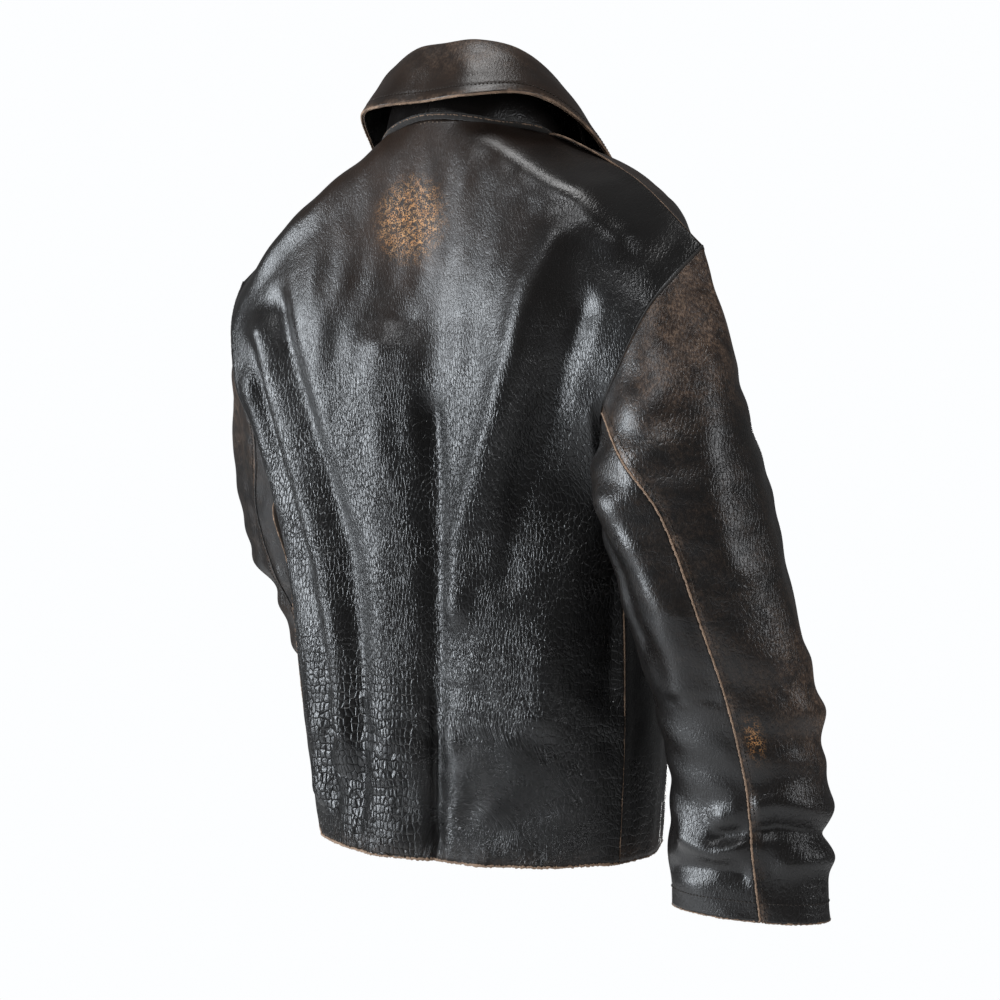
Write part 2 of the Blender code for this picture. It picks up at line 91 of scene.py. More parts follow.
FRONT_ROWS = {
    "right": [
        ((0.155, -0.063, -0.638), (0.182, -0.135, -0.637), (0.125, -0.232, -0.630), (0.026, -0.232, -0.628)),
        ((0.160, -0.063, -0.520), (0.190, -0.135, -0.520), (0.130, -0.240, -0.518), (0.023, -0.240, -0.516)),
        ((0.158, -0.063, -0.400), (0.180, -0.135, -0.400), (0.130, -0.241, -0.398), (0.020, -0.241, -0.396)),
        ((0.152, -0.052, -0.330), (0.166, -0.125, -0.328), (0.134, -0.236, -0.310), (0.018, -0.236, -0.305)),
        ((0.160, -0.114, -0.285), (0.170, -0.165, -0.270), (0.120, -0.230, -0.240), (0.017, -0.230, -0.235)),
        ((0.176, -0.134, -0.235), (0.178, -0.180, -0.205), (0.115, -0.218, -0.180), (0.018, -0.220, -0.178)),
        ((0.200, -0.122, -0.185), (0.190, -0.168, -0.100), (0.110, -0.200, -0.120), (0.021, -0.207, -0.138)),
        ((0.224, -0.086, -0.150), (0.184, -0.104, -0.012), (0.100, -0.170, -0.045), (0.024, -0.198, -0.114)),
    ],
    "left": [
        ((0.162, -0.063, -0.638), (0.186, -0.135, -0.637), (0.125, -0.232, -0.630), (0.026, -0.232, -0.628)),
        ((0.182, -0.063, -0.520), (0.186, -0.135, -0.520), (0.130, -0.240, -0.518), (0.023, -0.240, -0.516)),
        ((0.198, -0.063, -0.400), (0.180, -0.135, -0.400), (0.130, -0.241, -0.398), (0.020, -0.241, -0.396)),
        ((0.210, -0.056, -0.330), (0.176, -0.125, -0.328), (0.134, -0.236, -0.310), (0.018, -0.236, -0.305)),
        ((0.186, -0.114, -0.285), (0.174, -0.165, -0.270), (0.120, -0.230, -0.240), (0.017, -0.230, -0.235)),
        ((0.190, -0.134, -0.235), (0.180, -0.180, -0.205), (0.115, -0.218, -0.180), (0.018, -0.220, -0.178)),
        ((0.206, -0.122, -0.185), (0.192, -0.168, -0.100), (0.110, -0.200, -0.120), (0.021, -0.207, -0.138)),
        ((0.226, -0.086, -0.150), (0.186, -0.104, -0.012), (0.100, -0.170, -0.045), (0.024, -0.198, -0.114)),
    ],
}
FRONT_TOP = (SHOULDER, (0.165, -0.064, -0.055), NECK_POINT, (0.062, -0.140, -0.056), GORGE)
ARMPIT_ROW = 3
SLEEVE_RINGS = {
    "right": [
        ((0.214, -0.040, -0.292), 0.060, 0.067, 0.060),
        ((0.232, -0.042, -0.352), 0.067, 0.065, 0.030),
        ((0.248, -0.047, -0.420), 0.071, 0.060, 0.010),
        ((0.261, -0.064, -0.492), 0.069, 0.054, 0.004),
        ((0.267, -0.075, -0.560), 0.068, 0.046, 0.000),
        ((0.266, -0.078, -0.620), 0.069, 0.040, 0.000),
        ((0.267, -0.079, -0.668), 0.070, 0.035, 0.000),
    ],
    "left": [
        ((0.240, -0.116, -0.292), 0.046, 0.060, 0.050),
        ((0.255, -0.156, -0.352), 0.052, 0.062, 0.024),
        ((0.252, -0.190, -0.414), 0.060, 0.060, 0.010),
        ((0.241, -0.224, -0.474), 0.064, 0.055, 0.004),
        ((0.230, -0.250, -0.540), 0.066, 0.048, 0.000),
        ((0.218, -0.268, -0.605), 0.068, 0.040, 0.000),
        ((0.208, -0.278, -0.660), 0.069, 0.035, 0.000),
    ],
}
BACK_SEAM_TOP_DEG = 140.0
BACK_SEAM_ELBOW_DEG = 84.0
BACK_SEAM_CUFF_DEG = 70.0
FRONT_SEAM_DEG = 285.0
NECK_SEAM = (
    (0.000, 0.000, 0.000), (0.028, -0.005, -0.002), (0.056, -0.021, -0.007), (0.084, -0.060, -0.011),
    (0.080, -0.100, -0.031), (0.066, -0.136, -0.055), (0.046, -0.170, -0.082),
)
COLLAR_FOLD = (
    (0.000, -0.030, 0.070), (0.032, -0.034, 0.070), (0.062, -0.052, 0.062), (0.077, -0.082, 0.044),
    (0.079, -0.122, 0.015), (0.068, -0.160, -0.022), (0.046, -0.188, -0.058),
)
COLLAR_EDGE = (
    (0.000, 0.004, 0.0135), (0.046, 0.007, 0.0135), (0.088, -0.026, 0.016), (0.110, -0.070, 0.001),
    (0.120, -0.118, -0.030), (0.114, -0.180, -0.074), (0.088, -0.234, -0.128),
)
LEAF_BULGE = 0.003
SNAP_ROWS = (0.07, 0.25, 0.43, 0.61, 0.79)
SNAP_INSET = 0.016
FACING_WIDTH = 0.042


FLOOR_RADIUS = 2.35
FLOOR_HEIGHT = -1.45  # where a person's feet would be
FRONT_WIDTH = 0.30  # girth of a front from its side seam, in its flat coordinates
SLEEVE_GIRTH = 0.40
COLLAR_LENGTH = 0.50  # of the leaf, in its flat coordinates
COLLAR_DEPTH = 0.07
COLLAR_STITCH_INSET = 0.0105


# ---------------------------------------------------------------- curves and surfaces, on arrays
def arr(points):
    return np.array(points, float)


def spline(points, t):
    """A Catmull-Rom curve. points is (k, ..., 3); t is an array that broadcasts with the middle."""
    p = arr(points)
    last = len(p) - 1
    p = np.concatenate([p[:1] * 2 - p[1:2], p, p[-1:] * 2 - p[-2:-1]])
    at = np.clip(t, 0.0, 1.0) * last
    i = np.minimum(at.astype(int), last - 1)
    f = (at - i)[..., None]
    if p.ndim == 2:
        a, b, c, d = (p[i + k] for k in range(4))
    else:
        rows = np.arange(p.shape[1])
        a, b, c, d = (p[i + k, rows] for k in range(4))
    square = (a * 2 - b * 5 + c * 4 - d) * f ** 2
    cube = (b * 3 - a - c * 3 + d) * f ** 3
    return 0.5 * (b * 2 + (c - a) * f + square + cube)


def bezier(p, t):
    t = t[..., None]
    s = 1.0 - t
    p = arr(p)
    return p[0] * s ** 3 + p[1] * (3 * s * s * t) + p[2] * (3 * s * t * t) + p[3] * t ** 3


def mirrored(points, side):
    return points * arr((SIDES[side], 1.0, 1.0))


def back_row(row, u):
    centre_y, centre_z, bulge, end = row
    columns = []
    for q in BACK_COLUMNS:
        y = centre_y + (end[1] - centre_y) * q ** 3 + bulge * math.sin(math.pi * q) ** 2
        columns.append((end[0] * q, y, centre_z + (end[2] - centre_z) * q * q))
    return spline(columns, u)


def back_point(side, u, v):
    """Points of the half back for flat arrays u (centre to side seam) and v (hem to shoulder)."""
    rows = [back_row(row, u) for row in BACK_ROWS[side]]
    rows.append(spline(BACK_TOP, u))
    return mirrored(spline(rows, v), side)


def front_point(side, u, v):
    rows = [bezier(row, u) for row in FRONT_ROWS[side]]
    rows.append(spline(FRONT_TOP, u))
    return mirrored(spline(rows, v), side)


def armhole_point(side, turn):
    low = ARMPIT_ROW / len(BACK_ROWS[side])
    ones, zeros = np.ones_like(turn), np.zeros_like(turn)
    rear = back_point(side, ones, np.clip(1.0 + (low - 1.0) * turn * 2, 0, 1))
    fore = front_point(side, zeros, np.clip(low + (1.0 - low) * (turn - 0.5) * 2, 0, 1))
    return np.where((turn <= 0.5)[..., None], rear, fore)


def ring_point(side, ring, turn):
    (x, y, z), across, deep, tilt = ring
    angle = 2 * math.pi * turn
    points = np.stack([x + across * np.cos(angle), y + deep * np.sin(angle), z + tilt * np.cos(angle)], -1)
    return mirrored(points, side)


def sleeve_point(side, turn, v):
    turn = turn % 1.0
    rings = [armhole_point(side, turn)] + [ring_point(side, ring, turn) for ring in SLEEVE_RINGS[side]]
    return spline(rings, v)


def collar_curve(half, t):
    whole = [(-x, y, z) for x, y, z in reversed(half[1:])] + list(half)
    return spline(whole, t)


def stand_point(t, v):
    low, high = collar_curve(NECK_SEAM, t), collar_curve(COLLAR_FOLD, t)
    return low + (high - low) * v[..., None]


def leaf_point(t, v):
    fold, edge = collar_curve(COLLAR_FOLD, t), collar_curve(COLLAR_EDGE, t)
    ahead = collar_curve(COLLAR_FOLD, t + 0.01) - collar_curve(COLLAR_FOLD, t - 0.01)
    out = np.cross(ahead, edge - fold)
    out /= np.linalg.norm(out, axis=-1, keepdims=True)
    swell = LEAF_BULGE * np.sin(math.pi * v ** 0.7)
    return fold + (edge - fold) * v[..., None] + out * swell[..., None]


def smooth(low, high, x):
    """0 below low, 1 above high, and an even ramp between."""
    t = np.clip((x - low) / (high - low), 0.0, 1.0)
    return t * t * (3 - 2 * t)


def hump(x, centre, width):
    return np.exp(-((x - centre) / width) ** 2)


def ridge(across, up, path, width, height, fade=0.03):
    """A raised fold (or, with a negative height, a valley) along a path in a sheet's flat coordinates."""
    path = arr(path)
    best = np.full(across.shape, 1e9)
    along = np.zeros(across.shape)
    run = 0.0
    for a, b in zip(path, path[1:]):
        step = b - a
        length = float(np.hypot(*step))
        share = np.clip(((across - a[0]) * step[0] + (up - a[1]) * step[1]) / length ** 2, 0.0, 1.0)
        gap = np.hypot(across - a[0] - share * step[0], up - a[1] - share * step[1])
        nearer = gap < best
        best = np.where(nearer, gap, best)
        along = np.where(nearer, run + share * length, along)
        run += length
    ends = smooth(0.0, fade, along) * smooth(0.0, fade, run - along)
    return height * ends * np.exp(-(best / width) ** 2)


def ripples(across, up, seed, wave_across, wave_up, waves=5):
    """Soft uneven waves between -1 and 1, longer one way than the other."""
    rng = np.random.default_rng(seed)
    total = np.zeros(across.shape)
    for _ in range(waves):
        stretch = rng.uniform(0.7, 1.5)
        skew = rng.uniform(-0.35, 0.35)
        phase, bend = rng.uniform(0, 6.283, 2)
        wobble = 0.8 * np.sin(up * 6.283 / (wave_up * 1.7) + bend)
        total += np.sin(6.283 * stretch * (across + skew * up) / wave_across + wobble + phase) \
            * np.cos(6.283 * stretch * up / wave_up + bend)
    return total / waves


# ---------------------------------------------------------------- sheets
def grid_normals(points, outside):
    """Unit normals of a grid of points, all on the side that faces the given place."""
    normals = np.cross(np.gradient(points, axis=0), np.gradient(points, axis=1))
    normals /= np.maximum(np.linalg.norm(normals, axis=-1, keepdims=True), 1e-12)
    middle = (points.shape[0] // 2, points.shape[1] // 2)
    if np.dot(normals[middle], arr(outside) - points[middle]) < 0:
        normals = -normals
    return normals


def shell_faces(columns, rows, flip):
    """Quads of a grid's outer layer, its inner layer and its rim, each with its material's index."""
    count = (columns + 1) * (rows + 1)
    index = np.arange(count).reshape(columns + 1, rows + 1)
    outer = np.stack([index[:-1, :-1], index[1:, :-1], index[1:, 1:], index[:-1, 1:]], -1).reshape(-1, 4)
    border = np.concatenate([index[:, 0], index[-1, 1:], index[-2::-1, -1], index[0, -2:0:-1]])
    after = np.roll(border, -1)
    rim = np.stack([after, border, border + count, after + count], -1)
    inner = outer[:, ::-1] + count
    faces = np.concatenate([outer, inner, rim])
    if flip:
        faces = faces[:, ::-1]
    kinds = np.repeat([0, 1, 2], [len(outer), len(inner), len(rim)])
    return faces, kinds


def new_mesh(name, vertices, faces, materials, kinds=None, smooth_faces=True):
    mesh = bpy.data.meshes.new(name)
    mesh.from_pydata(vertices.tolist(), [], faces.tolist())
    for material in materials:
        mesh.materials.append(material)
    if kinds is not None:
        mesh.polygons.foreach_set("material_index", kinds.astype(np.int32))
    mesh.polygons.foreach_set("use_smooth", np.full(len(mesh.polygons), smooth_faces))
    mesh.update()
    obj = bpy.data.objects.new(name, mesh)
    bpy.context.scene.collection.objects.link(obj)
    return obj


def set_attribute(obj, name, values):
    values = np.concatenate([values, values])
    if values.ndim == 2:
        attribute = obj.data.attributes.new(name, "FLOAT_VECTOR", "POINT")
        attribute.data.foreach_set("vector", values.astype(np.float32).ravel())
    else:
        attribute = obj.data.attributes.new(name, "FLOAT", "POINT")
        attribute.data.foreach_set("value", values.astype(np.float32))


def make_sheet(name, surface, columns, rows, relief, marks, materials, outside, depth=0.0,
               thickness=LEATHER):
    """A leather panel: surface(s, t) gives its points, relief(across, up) its folds in metres.

    marks(across, up) names the sheet's patterns, each an array over the sheet. The flat coordinates
    that relief and marks get are the second thing that surface returns.
    """
    s, t = np.meshgrid(np.linspace(0, 1, columns + 1), np.linspace(0, 1, rows + 1), indexing="ij")
    points, flat = surface(s.ravel(), t.ravel())
    grid = points.reshape(columns + 1, rows + 1, 3)
    normals = grid_normals(grid, outside)
    across, up = flat[:, 0], flat[:, 1]
    height = relief(across, up, s.ravel(), t.ravel()) - depth
    grid = grid + normals * height.reshape(columns + 1, rows + 1, 1)
    normals = grid_normals(grid, outside)
    natural = np.cross(np.gradient(grid, axis=0), np.gradient(grid, axis=1))
    flip = float((natural * normals).sum()) < 0
    faces, kinds = shell_faces(columns, rows, flip)
    vertices = np.concatenate([grid.reshape(-1, 3), (grid - normals * thickness).reshape(-1, 3)])
    obj = new_mesh(name, vertices, faces, materials, kinds)
    set_attribute(obj, "sheet", np.stack([across, up, np.zeros_like(up)], -1))
    found = marks(across, up, s.ravel(), t.ravel())
    for mark in ("crease", "tint", "cracked", "worn", "grid", "lined"):
        values = found.get(mark)
        if mark == "crease":
            flow = values if values is not None else np.stack([across, up], -1)
            set_attribute(obj, mark, np.concatenate([flow, np.zeros((len(flow), 1))], -1))
        else:
            set_attribute(obj, mark, values if values is not None else np.zeros_like(up))
    return obj, grid, normals


# ---------------------------------------------------------------- materials
class Nodes:
    """A short way to write shader nodes: each call makes one node and returns its first output."""

    def __init__(self, name):
        self.material = bpy.data.materials.new(name)
        self.material.use_nodes = True
        self.tree = self.material.node_tree
        self.shader = self.tree.nodes["Principled BSDF"]

    def put(self, socket, value):
        if isinstance(value, bpy.types.NodeSocket):
            self.tree.links.new(value, socket)
        else:
            socket.default_value = value

    def set(self, **values):
        for name, value in values.items():
            self.put(self.shader.inputs[name.replace("_", " ")], value)

    def attribute(self, name, output="Fac"):
        node = self.tree.nodes.new("ShaderNodeAttribute")
        node.attribute_name = name
        return node.outputs[output]

    def math(self, operation, a, b=0.0, c=0.0, clamp=False):
        node = self.tree.nodes.new("ShaderNodeMath")
        node.operation = operation
        node.use_clamp = clamp
        for socket, value in zip(node.inputs, (a, b, c)):
            self.put(socket, value)
        return node.outputs[0]

    def mapped(self, vector, scale):
        node = self.tree.nodes.new("ShaderNodeMapping")
        self.put(node.inputs["Vector"], vector)
        node.inputs["Scale"].default_value = scale
        return node.outputs[0]

    def warped(self, vector, scale, amount):
        """The vector moved about by noise, so that patterns on it aren't regular."""
        noise = self.tree.nodes.new("ShaderNodeTexNoise")
        self.put(noise.inputs["Vector"], vector)
        noise.inputs["Scale"].default_value = scale
        noise.inputs["Detail"].default_value = 2.0
        centred = self.tree.nodes.new("ShaderNodeVectorMath")
        centred.operation = "SUBTRACT"
        self.put(centred.inputs[0], noise.outputs["Color"])
        centred.inputs[1].default_value = (0.5, 0.5, 0.5)
        moved = self.tree.nodes.new("ShaderNodeVectorMath")
        moved.operation = "MULTIPLY_ADD"
        self.put(moved.inputs[0], centred.outputs[0])
        moved.inputs[1].default_value = (amount, amount, amount)
        self.put(moved.inputs[2], vector)
        return moved.outputs[0]

    def noise(self, vector, scale, detail=4.0, rough=0.55):
        node = self.tree.nodes.new("ShaderNodeTexNoise")
        self.put(node.inputs["Vector"], vector)
        node.inputs["Scale"].default_value = scale
        node.inputs["Detail"].default_value = detail
        node.inputs["Roughness"].default_value = rough
        return node.outputs["Fac"]

    def cells(self, vector, scale, feature="F1", randomness=1.0):
        node = self.tree.nodes.new("ShaderNodeTexVoronoi")
        node.feature = feature
        self.put(node.inputs["Vector"], vector)
        node.inputs["Scale"].default_value = scale
        node.inputs["Randomness"].default_value = randomness
        return node.outputs["Distance"]

    def ramp(self, value, *stops):
        """stops are (place, brightness) pairs."""
        node = self.tree.nodes.new("ShaderNodeValToRGB")
        self.put(node.inputs["Fac"], value)
        elements = node.color_ramp.elements
        while len(elements) < len(stops):
            elements.new(0.5)
        for element, (place, level) in zip(elements, stops):
            element.position = place
            element.color = (level, level, level, 1.0)
        return node.outputs["Color"]

    def bump(self, height, strength, distance, normal=None):
        node = self.tree.nodes.new("ShaderNodeBump")
        self.put(node.inputs["Height"], height)
        self.put(node.inputs["Strength"], strength)
        node.inputs["Distance"].default_value = distance
        if normal is not None:
            self.put(node.inputs["Normal"], normal)
        return node.outputs["Normal"]


# Blender's Mix node keeps one set of sockets per data type, so colours are picked by place.
def mix_colours(nodes, share, first, second):
    node = nodes.tree.nodes.new("ShaderNodeMix")
    node.data_type = "RGBA"
    nodes.put(node.inputs[0], share)
    nodes.put(node.inputs[6], first)
    nodes.put(node.inputs[7], second)
    return node.outputs[2]


def outer_leather():
    """Grain side: black finish, brown where it is rubbed, tan in the cracks, and all its creases."""
    n = Nodes("leather_grain_side")
    sheet = n.attribute("sheet", "Vector")
    flow = n.warped(n.attribute("crease", "Vector"), 22.0, 0.010)
    patches = n.noise(sheet, 9.0, 5.0)
    black = mix_colours(n, patches, (0.0042, 0.0043, 0.0047, 1.0), (0.0100, 0.0092, 0.0086, 1.0))
    tint = n.ramp(n.noise(sheet, 26.0, 6.0), (0.30, 0.35), (0.72, 1.0))
    tint = n.math("MULTIPLY", n.attribute("tint"), tint)
    colour = mix_colours(n, tint, black, (0.042, 0.021, 0.011, 1.0))
    # rubbed places: brown with paler pores
    pores = n.ramp(n.noise(n.mapped(sheet, (1.0, 0.7, 1.0)), 420.0, 3.0, 0.7), (0.44, 0.0), (0.60, 1.0))
    soft = n.ramp(n.noise(sheet, 60.0, 6.0, 0.7), (0.40, 0.0), (0.58, 1.0))
    worn = n.attribute("worn")
    rubbed = n.math("MULTIPLY", worn, soft, clamp=True)
    colour = mix_colours(n, n.math("MULTIPLY", rubbed, 0.75), colour, (0.070, 0.038, 0.023, 1.0))
    pale = n.math("MULTIPLY", rubbed, pores)
    colour = mix_colours(n, n.math("MULTIPLY", pale, 0.8), colour, (0.30, 0.20, 0.135, 1.0))
    # cracks that show the tan leather under the finish
    crack = n.ramp(n.cells(n.warped(sheet, 90.0, 0.004), 520.0, "DISTANCE_TO_EDGE"), (0.02, 1.0), (0.15, 0.0))
    patchy = n.ramp(n.noise(sheet, 210.0, 4.0, 0.7), (0.43, 0.0), (0.55, 1.0))
    cracked = n.math("MULTIPLY", n.attribute("cracked"), n.math("MULTIPLY", crack, patchy), clamp=True)
    orange = mix_colours(n, n.noise(sheet, 90.0, 2.0), (0.62, 0.22, 0.045, 1.0), (0.85, 0.52, 0.24, 1.0))
    colour = mix_colours(n, cracked, colour, orange)
    # creases
    grain = n.cells(n.warped(sheet, 160.0, 0.002), 820.0)
    lines = n.cells(n.mapped(flow, (1.0, 0.36, 1.0)), 400.0, "DISTANCE_TO_EDGE", 0.9)
    lines = n.ramp(lines, (0.0, 0.0), (0.12, 0.85), (0.45, 1.0))
    fine = n.cells(n.mapped(flow, (1.0, 0.42, 1.0)), 520.0, "DISTANCE_TO_EDGE")
    fine = n.ramp(fine, (0.0, 0.0), (0.20, 1.0))
    squares = n.mapped(n.warped(sheet, 30.0, 0.006), (1.0, 0.60, 1.0))
    squares = n.cells(squares, 225.0, "DISTANCE_TO_EDGE", 0.55)
    squares = n.ramp(squares, (0.0, 0.0), (0.09, 0.8), (0.40, 1.0))
    fade = n.ramp(n.noise(sheet, 18.0, 3.0), (0.35, 0.55), (0.65, 1.0))
    lined = n.math("MULTIPLY", n.attribute("lined"), fade)
    normal = n.bump(n.noise(sheet, 55.0, 5.0, 0.6), 0.24, 0.0022)
    normal = n.bump(grain, 0.32, 0.00022, normal)
    normal = n.bump(fine, n.math("MULTIPLY", lined, 0.38), 0.0004, normal)
    normal = n.bump(lines, n.math("MULTIPLY", lined, 0.62), 0.0008, normal)
    normal = n.bump(squares, n.attribute("grid"), 0.0017, normal)
    gloss = n.noise(sheet, 34.0, 5.0, 0.65)
    rough = n.math("MULTIPLY_ADD", gloss, 0.24, 0.17)
    rough = n.math("ADD", rough, n.math("MULTIPLY", n.math("ADD", rubbed, n.attribute("tint")), 0.12))
    n.set(Base_Color=colour, Roughness=rough, Normal=normal, Specular_IOR_Level=0.5)
    return n.material


def flesh_side(name="leather_flesh_side", dark=1.0):
    """The matt inner side of the leather."""
    n = Nodes(name)
    sheet = n.attribute("sheet", "Vector")
    nap = n.noise(sheet, 900.0, 4.0, 0.7)
    cloud = n.noise(sheet, 24.0, 5.0)
    share = n.math("MULTIPLY_ADD", nap, 0.5, n.math("MULTIPLY", cloud, 0.5))
    low = (0.045 * dark, 0.036 * dark, 0.030 * dark, 1.0)
    high = (0.120 * dark, 0.092 * dark, 0.072 * dark, 1.0)
    n.set(Base_Color=mix_colours(n, share, low, high), Roughness=0.92, Normal=n.bump(nap, 0.6, 0.0006))
    n.shader.inputs["Sheen Weight"].default_value = 0.15
    n.shader.inputs["Sheen Roughness"].default_value = 0.6
    return n.material


def raw_edge(name="leather_raw_edge", grime=0.55):
    """Cut edges, tan and a little furry, and partly darkened by grime."""
    n = Nodes(name)
    where = n.tree.nodes.new("ShaderNodeTexCoord").outputs["Object"]
    fur = n.noise(where, 1400.0, 4.0, 0.75)
    cloud = n.ramp(n.noise(where, 120.0, 3.0), (0.40, 0.0), (0.62, 1.0))
    tan = mix_colours(n, fur, (0.13, 0.062, 0.036, 1.0), (0.56, 0.40, 0.28, 1.0))
    colour = mix_colours(n, n.math("MULTIPLY", cloud, grime), tan, (0.020, 0.016, 0.014, 1.0))
    n.set(Base_Color=colour, Roughness=0.88, Normal=n.bump(fur, 0.8, 0.0005))
    return n.material


def thread(name, low, high):
    n = Nodes(name)
    where = n.tree.nodes.new("ShaderNodeTexCoord").outputs["Object"]
    twist = n.noise(where, 2600.0, 2.0)
    n.set(Base_Color=mix_colours(n, twist, low, high), Roughness=0.7, Normal=n.bump(twist, 0.5, 0.0002))
    return n.material


def snap_metal():
    n = Nodes("aged_metal")
    where = n.tree.nodes.new("ShaderNodeTexCoord").outputs["Object"]
    spots = n.noise(where, 420.0, 5.0, 0.65)
    colour = mix_colours(n, spots, (0.045, 0.036, 0.028, 1.0), (0.34, 0.27, 0.18, 1.0))
    rough = n.math("MULTIPLY_ADD", spots, 0.30, 0.22)
    n.set(Base_Color=colour, Metallic=1.0, Roughness=rough, Normal=n.bump(spots, 0.25, 0.0002))
    return n.material


# ---------------------------------------------------------------- back
def by_side(points_of, across, up):
    """Runs a half's surface on a whole sheet: across runs from the right end to the left one."""
    left = points_of("left", np.abs(across), up)
    right = points_of("right", np.abs(across), up)
    return np.where((across > 0)[:, None], left, right)


def back_surface(s, t):
    """The back, with the meeting of its two halves eased into one curve."""
    def at(across):
        return by_side(lambda side, u, v: back_point(side, np.minimum(u, 0.999), v), across, 0.9985 * t)

    across = 2.0 * s - 1.0
    points = at(across)
    eased = np.mean([at(across + step)[:, 1] for step in np.linspace(-0.12, 0.12, 9)], axis=0)
    near_centre = smooth(0.24, 0.08, np.abs(across))
    points[:, 1] += near_centre * (eased - points[:, 1])
    return points, np.stack([points[:, 0], points[:, 2]], -1)


BACK_FOLDS = [
    # path of (x, z), width, height, and how far in from its ends it fades
    ([(0.028, -0.17), (0.036, -0.30), (0.036, -0.42),
      (0.040, -0.56), (0.044, -0.66)], 0.030, 0.0060, 0.03),
    ([(-0.006, -0.23), (-0.012, -0.32), (-0.012, -0.42),
      (-0.008, -0.52), (-0.005, -0.66)], 0.012, -0.0068, 0.03),
    ([(-0.004, -0.47), (-0.004, -0.68)], 0.0022, -0.0030, 0.06),
    ([(-0.150, -0.09), (-0.118, -0.15), (-0.096, -0.22),
      (-0.068, -0.29), (-0.044, -0.36), (-0.032, -0.45)], 0.017, 0.0070, 0.03),
    ([(-0.165, -0.15), (-0.128, -0.24), (-0.095, -0.32), (-0.075, -0.42)], 0.014, -0.0055, 0.03),
    ([(-0.170, -0.24), (-0.155, -0.31), (-0.132, -0.38),
      (-0.112, -0.46), (-0.105, -0.54)], 0.018, 0.0060, 0.03),
    ([(-0.165, -0.34), (-0.158, -0.43), (-0.150, -0.52)], 0.012, -0.0035, 0.03),
    ([(-0.140, -0.05), (-0.165, -0.10), (-0.195, -0.14)], 0.018, 0.0030, 0.03),
    ([(0.190, -0.15), (0.172, -0.22), (0.142, -0.30),
      (0.108, -0.38), (0.092, -0.47), (0.088, -0.58)], 0.016, 0.0075, 0.03),
    ([(0.165, -0.13), (0.140, -0.21), (0.108, -0.29),
      (0.076, -0.38), (0.068, -0.48), (0.070, -0.62)], 0.013, -0.0060, 0.03),
    ([(0.212, -0.20), (0.196, -0.30), (0.170, -0.38),
      (0.146, -0.48), (0.136, -0.62)], 0.014, 0.0055, 0.03),
    ([(0.198, -0.17), (0.182, -0.27), (0.148, -0.37),
      (0.118, -0.48), (0.112, -0.62)], 0.010, -0.0045, 0.03),
    ([(-0.004, -0.488), (-0.045, -0.494), (-0.080, -0.502)], 0.004, -0.0016, 0.02),
]


def back_relief(x, z, s, t):
    """Folds of the back as it hangs, in the plane of the back: x to the wearer's left, z up."""
    height = np.zeros_like(z)
    for path, width, tall, fade in BACK_FOLDS:
        height += ridge(x, z, path, width, tall, fade)
    lower = smooth(-0.44, -0.54, z)
    height += 0.0022 * lower * ripples(x, z, 4, 0.075, 0.060)
    height += 0.0011 * ripples(x, z, 7, 0.045, 0.20)
    near_edge = np.minimum(smooth(1.0, 0.93, np.abs(2 * s - 1)), smooth(1.0, 0.95, t))
    height *= 1.25 * (0.25 + 0.75 * near_edge)
    return height + np.where(t > 0.02, 0.0, 0.0006 * ripples(x, z, 11, 0.012, 0.3))


def whorl(x, z, centre, radius):
    """How far a point lies inside a whorl, and its flow there: rings round the centre."""
    dx, dz = x - centre[0], z - centre[1]
    away = np.hypot(dx, dz)
    return np.exp(-(away / radius) ** 4), np.stack([away, np.arctan2(dx, dz) * radius], -1)


def back_marks(x, z, s, t):
    flow = np.stack([x + 0.10 * (z + 0.25) * np.tanh(x / 0.03) * smooth(-0.5, -0.1, z), z], -1)
    share, rings = whorl(x, z, (-0.050, -0.635), 0.075)
    flow = flow * (1 - share[:, None]) + rings * share[:, None]
    patch = np.hypot((x - 0.0125) / 0.034, (z + 0.088) / 0.036)
    cracked = smooth(1.25, 0.45, patch + 0.22 * ripples(x, z, 21, 0.02, 0.02))
    tint = 0.7 * hump(x, 0.02, 0.12) * smooth(-0.26, -0.06, z) + 0.4 * smooth(1.9, 0.8, patch)
    grid = 1.2 * smooth(0.000, 0.02, x) * smooth(-0.40, -0.54, z)
    grid *= 0.75 + 0.25 * ripples(x, z, 31, 0.05, 0.05)
    grid += 0.30 * smooth(-0.06, -0.10, x) * smooth(-0.40, -0.50, z)
    lined = 0.30 + 0.70 * smooth(-0.14, -0.34, z)
    lined *= 1.0 - 0.75 * np.clip(grid, 0, 1)
    return {"crease": flow, "tint": np.clip(tint, 0, 1), "cracked": cracked, "grid": np.clip(grid, 0, 0.95),
            "lined": lined, "worn": 0.10 * hump(z, -0.64, 0.012)}


# ---------------------------------------------------------------- fronts
def front_surface(side):
    def surface(s, t):
        points = front_point(side, 0.001 + 0.999 * s, 0.9985 * t)
        girth = (1.0 - s) * FRONT_WIDTH
        return points, np.stack([girth, points[:, 2]], -1)
    return surface


def front_relief(side):
    def relief(a, z, s, t):
        seed = 41 if side == "left" else 42
        height = 0.0035 * ripples(a, z, seed, 0.11, 0.42)
        height += ridge(a, z, [(0.285, -0.30), (0.21, -0.38), (0.17, -0.50)], 0.018, 0.0045)
        height += ridge(a, z, [(0.27, -0.27), (0.19, -0.31), (0.14, -0.42)], 0.014, -0.0040)
        height += ridge(a, z, [(0.12, -0.12), (0.14, -0.25), (0.13, -0.42)], 0.022, 0.0040)
        height += 0.0009 * ripples(a, z, seed + 5, 0.04, 0.12)
        clear = smooth(0.055, 0.10, a) * smooth(0.0, 0.05, s) * smooth(1.0, 0.93, t)
        return height * clear
    return relief


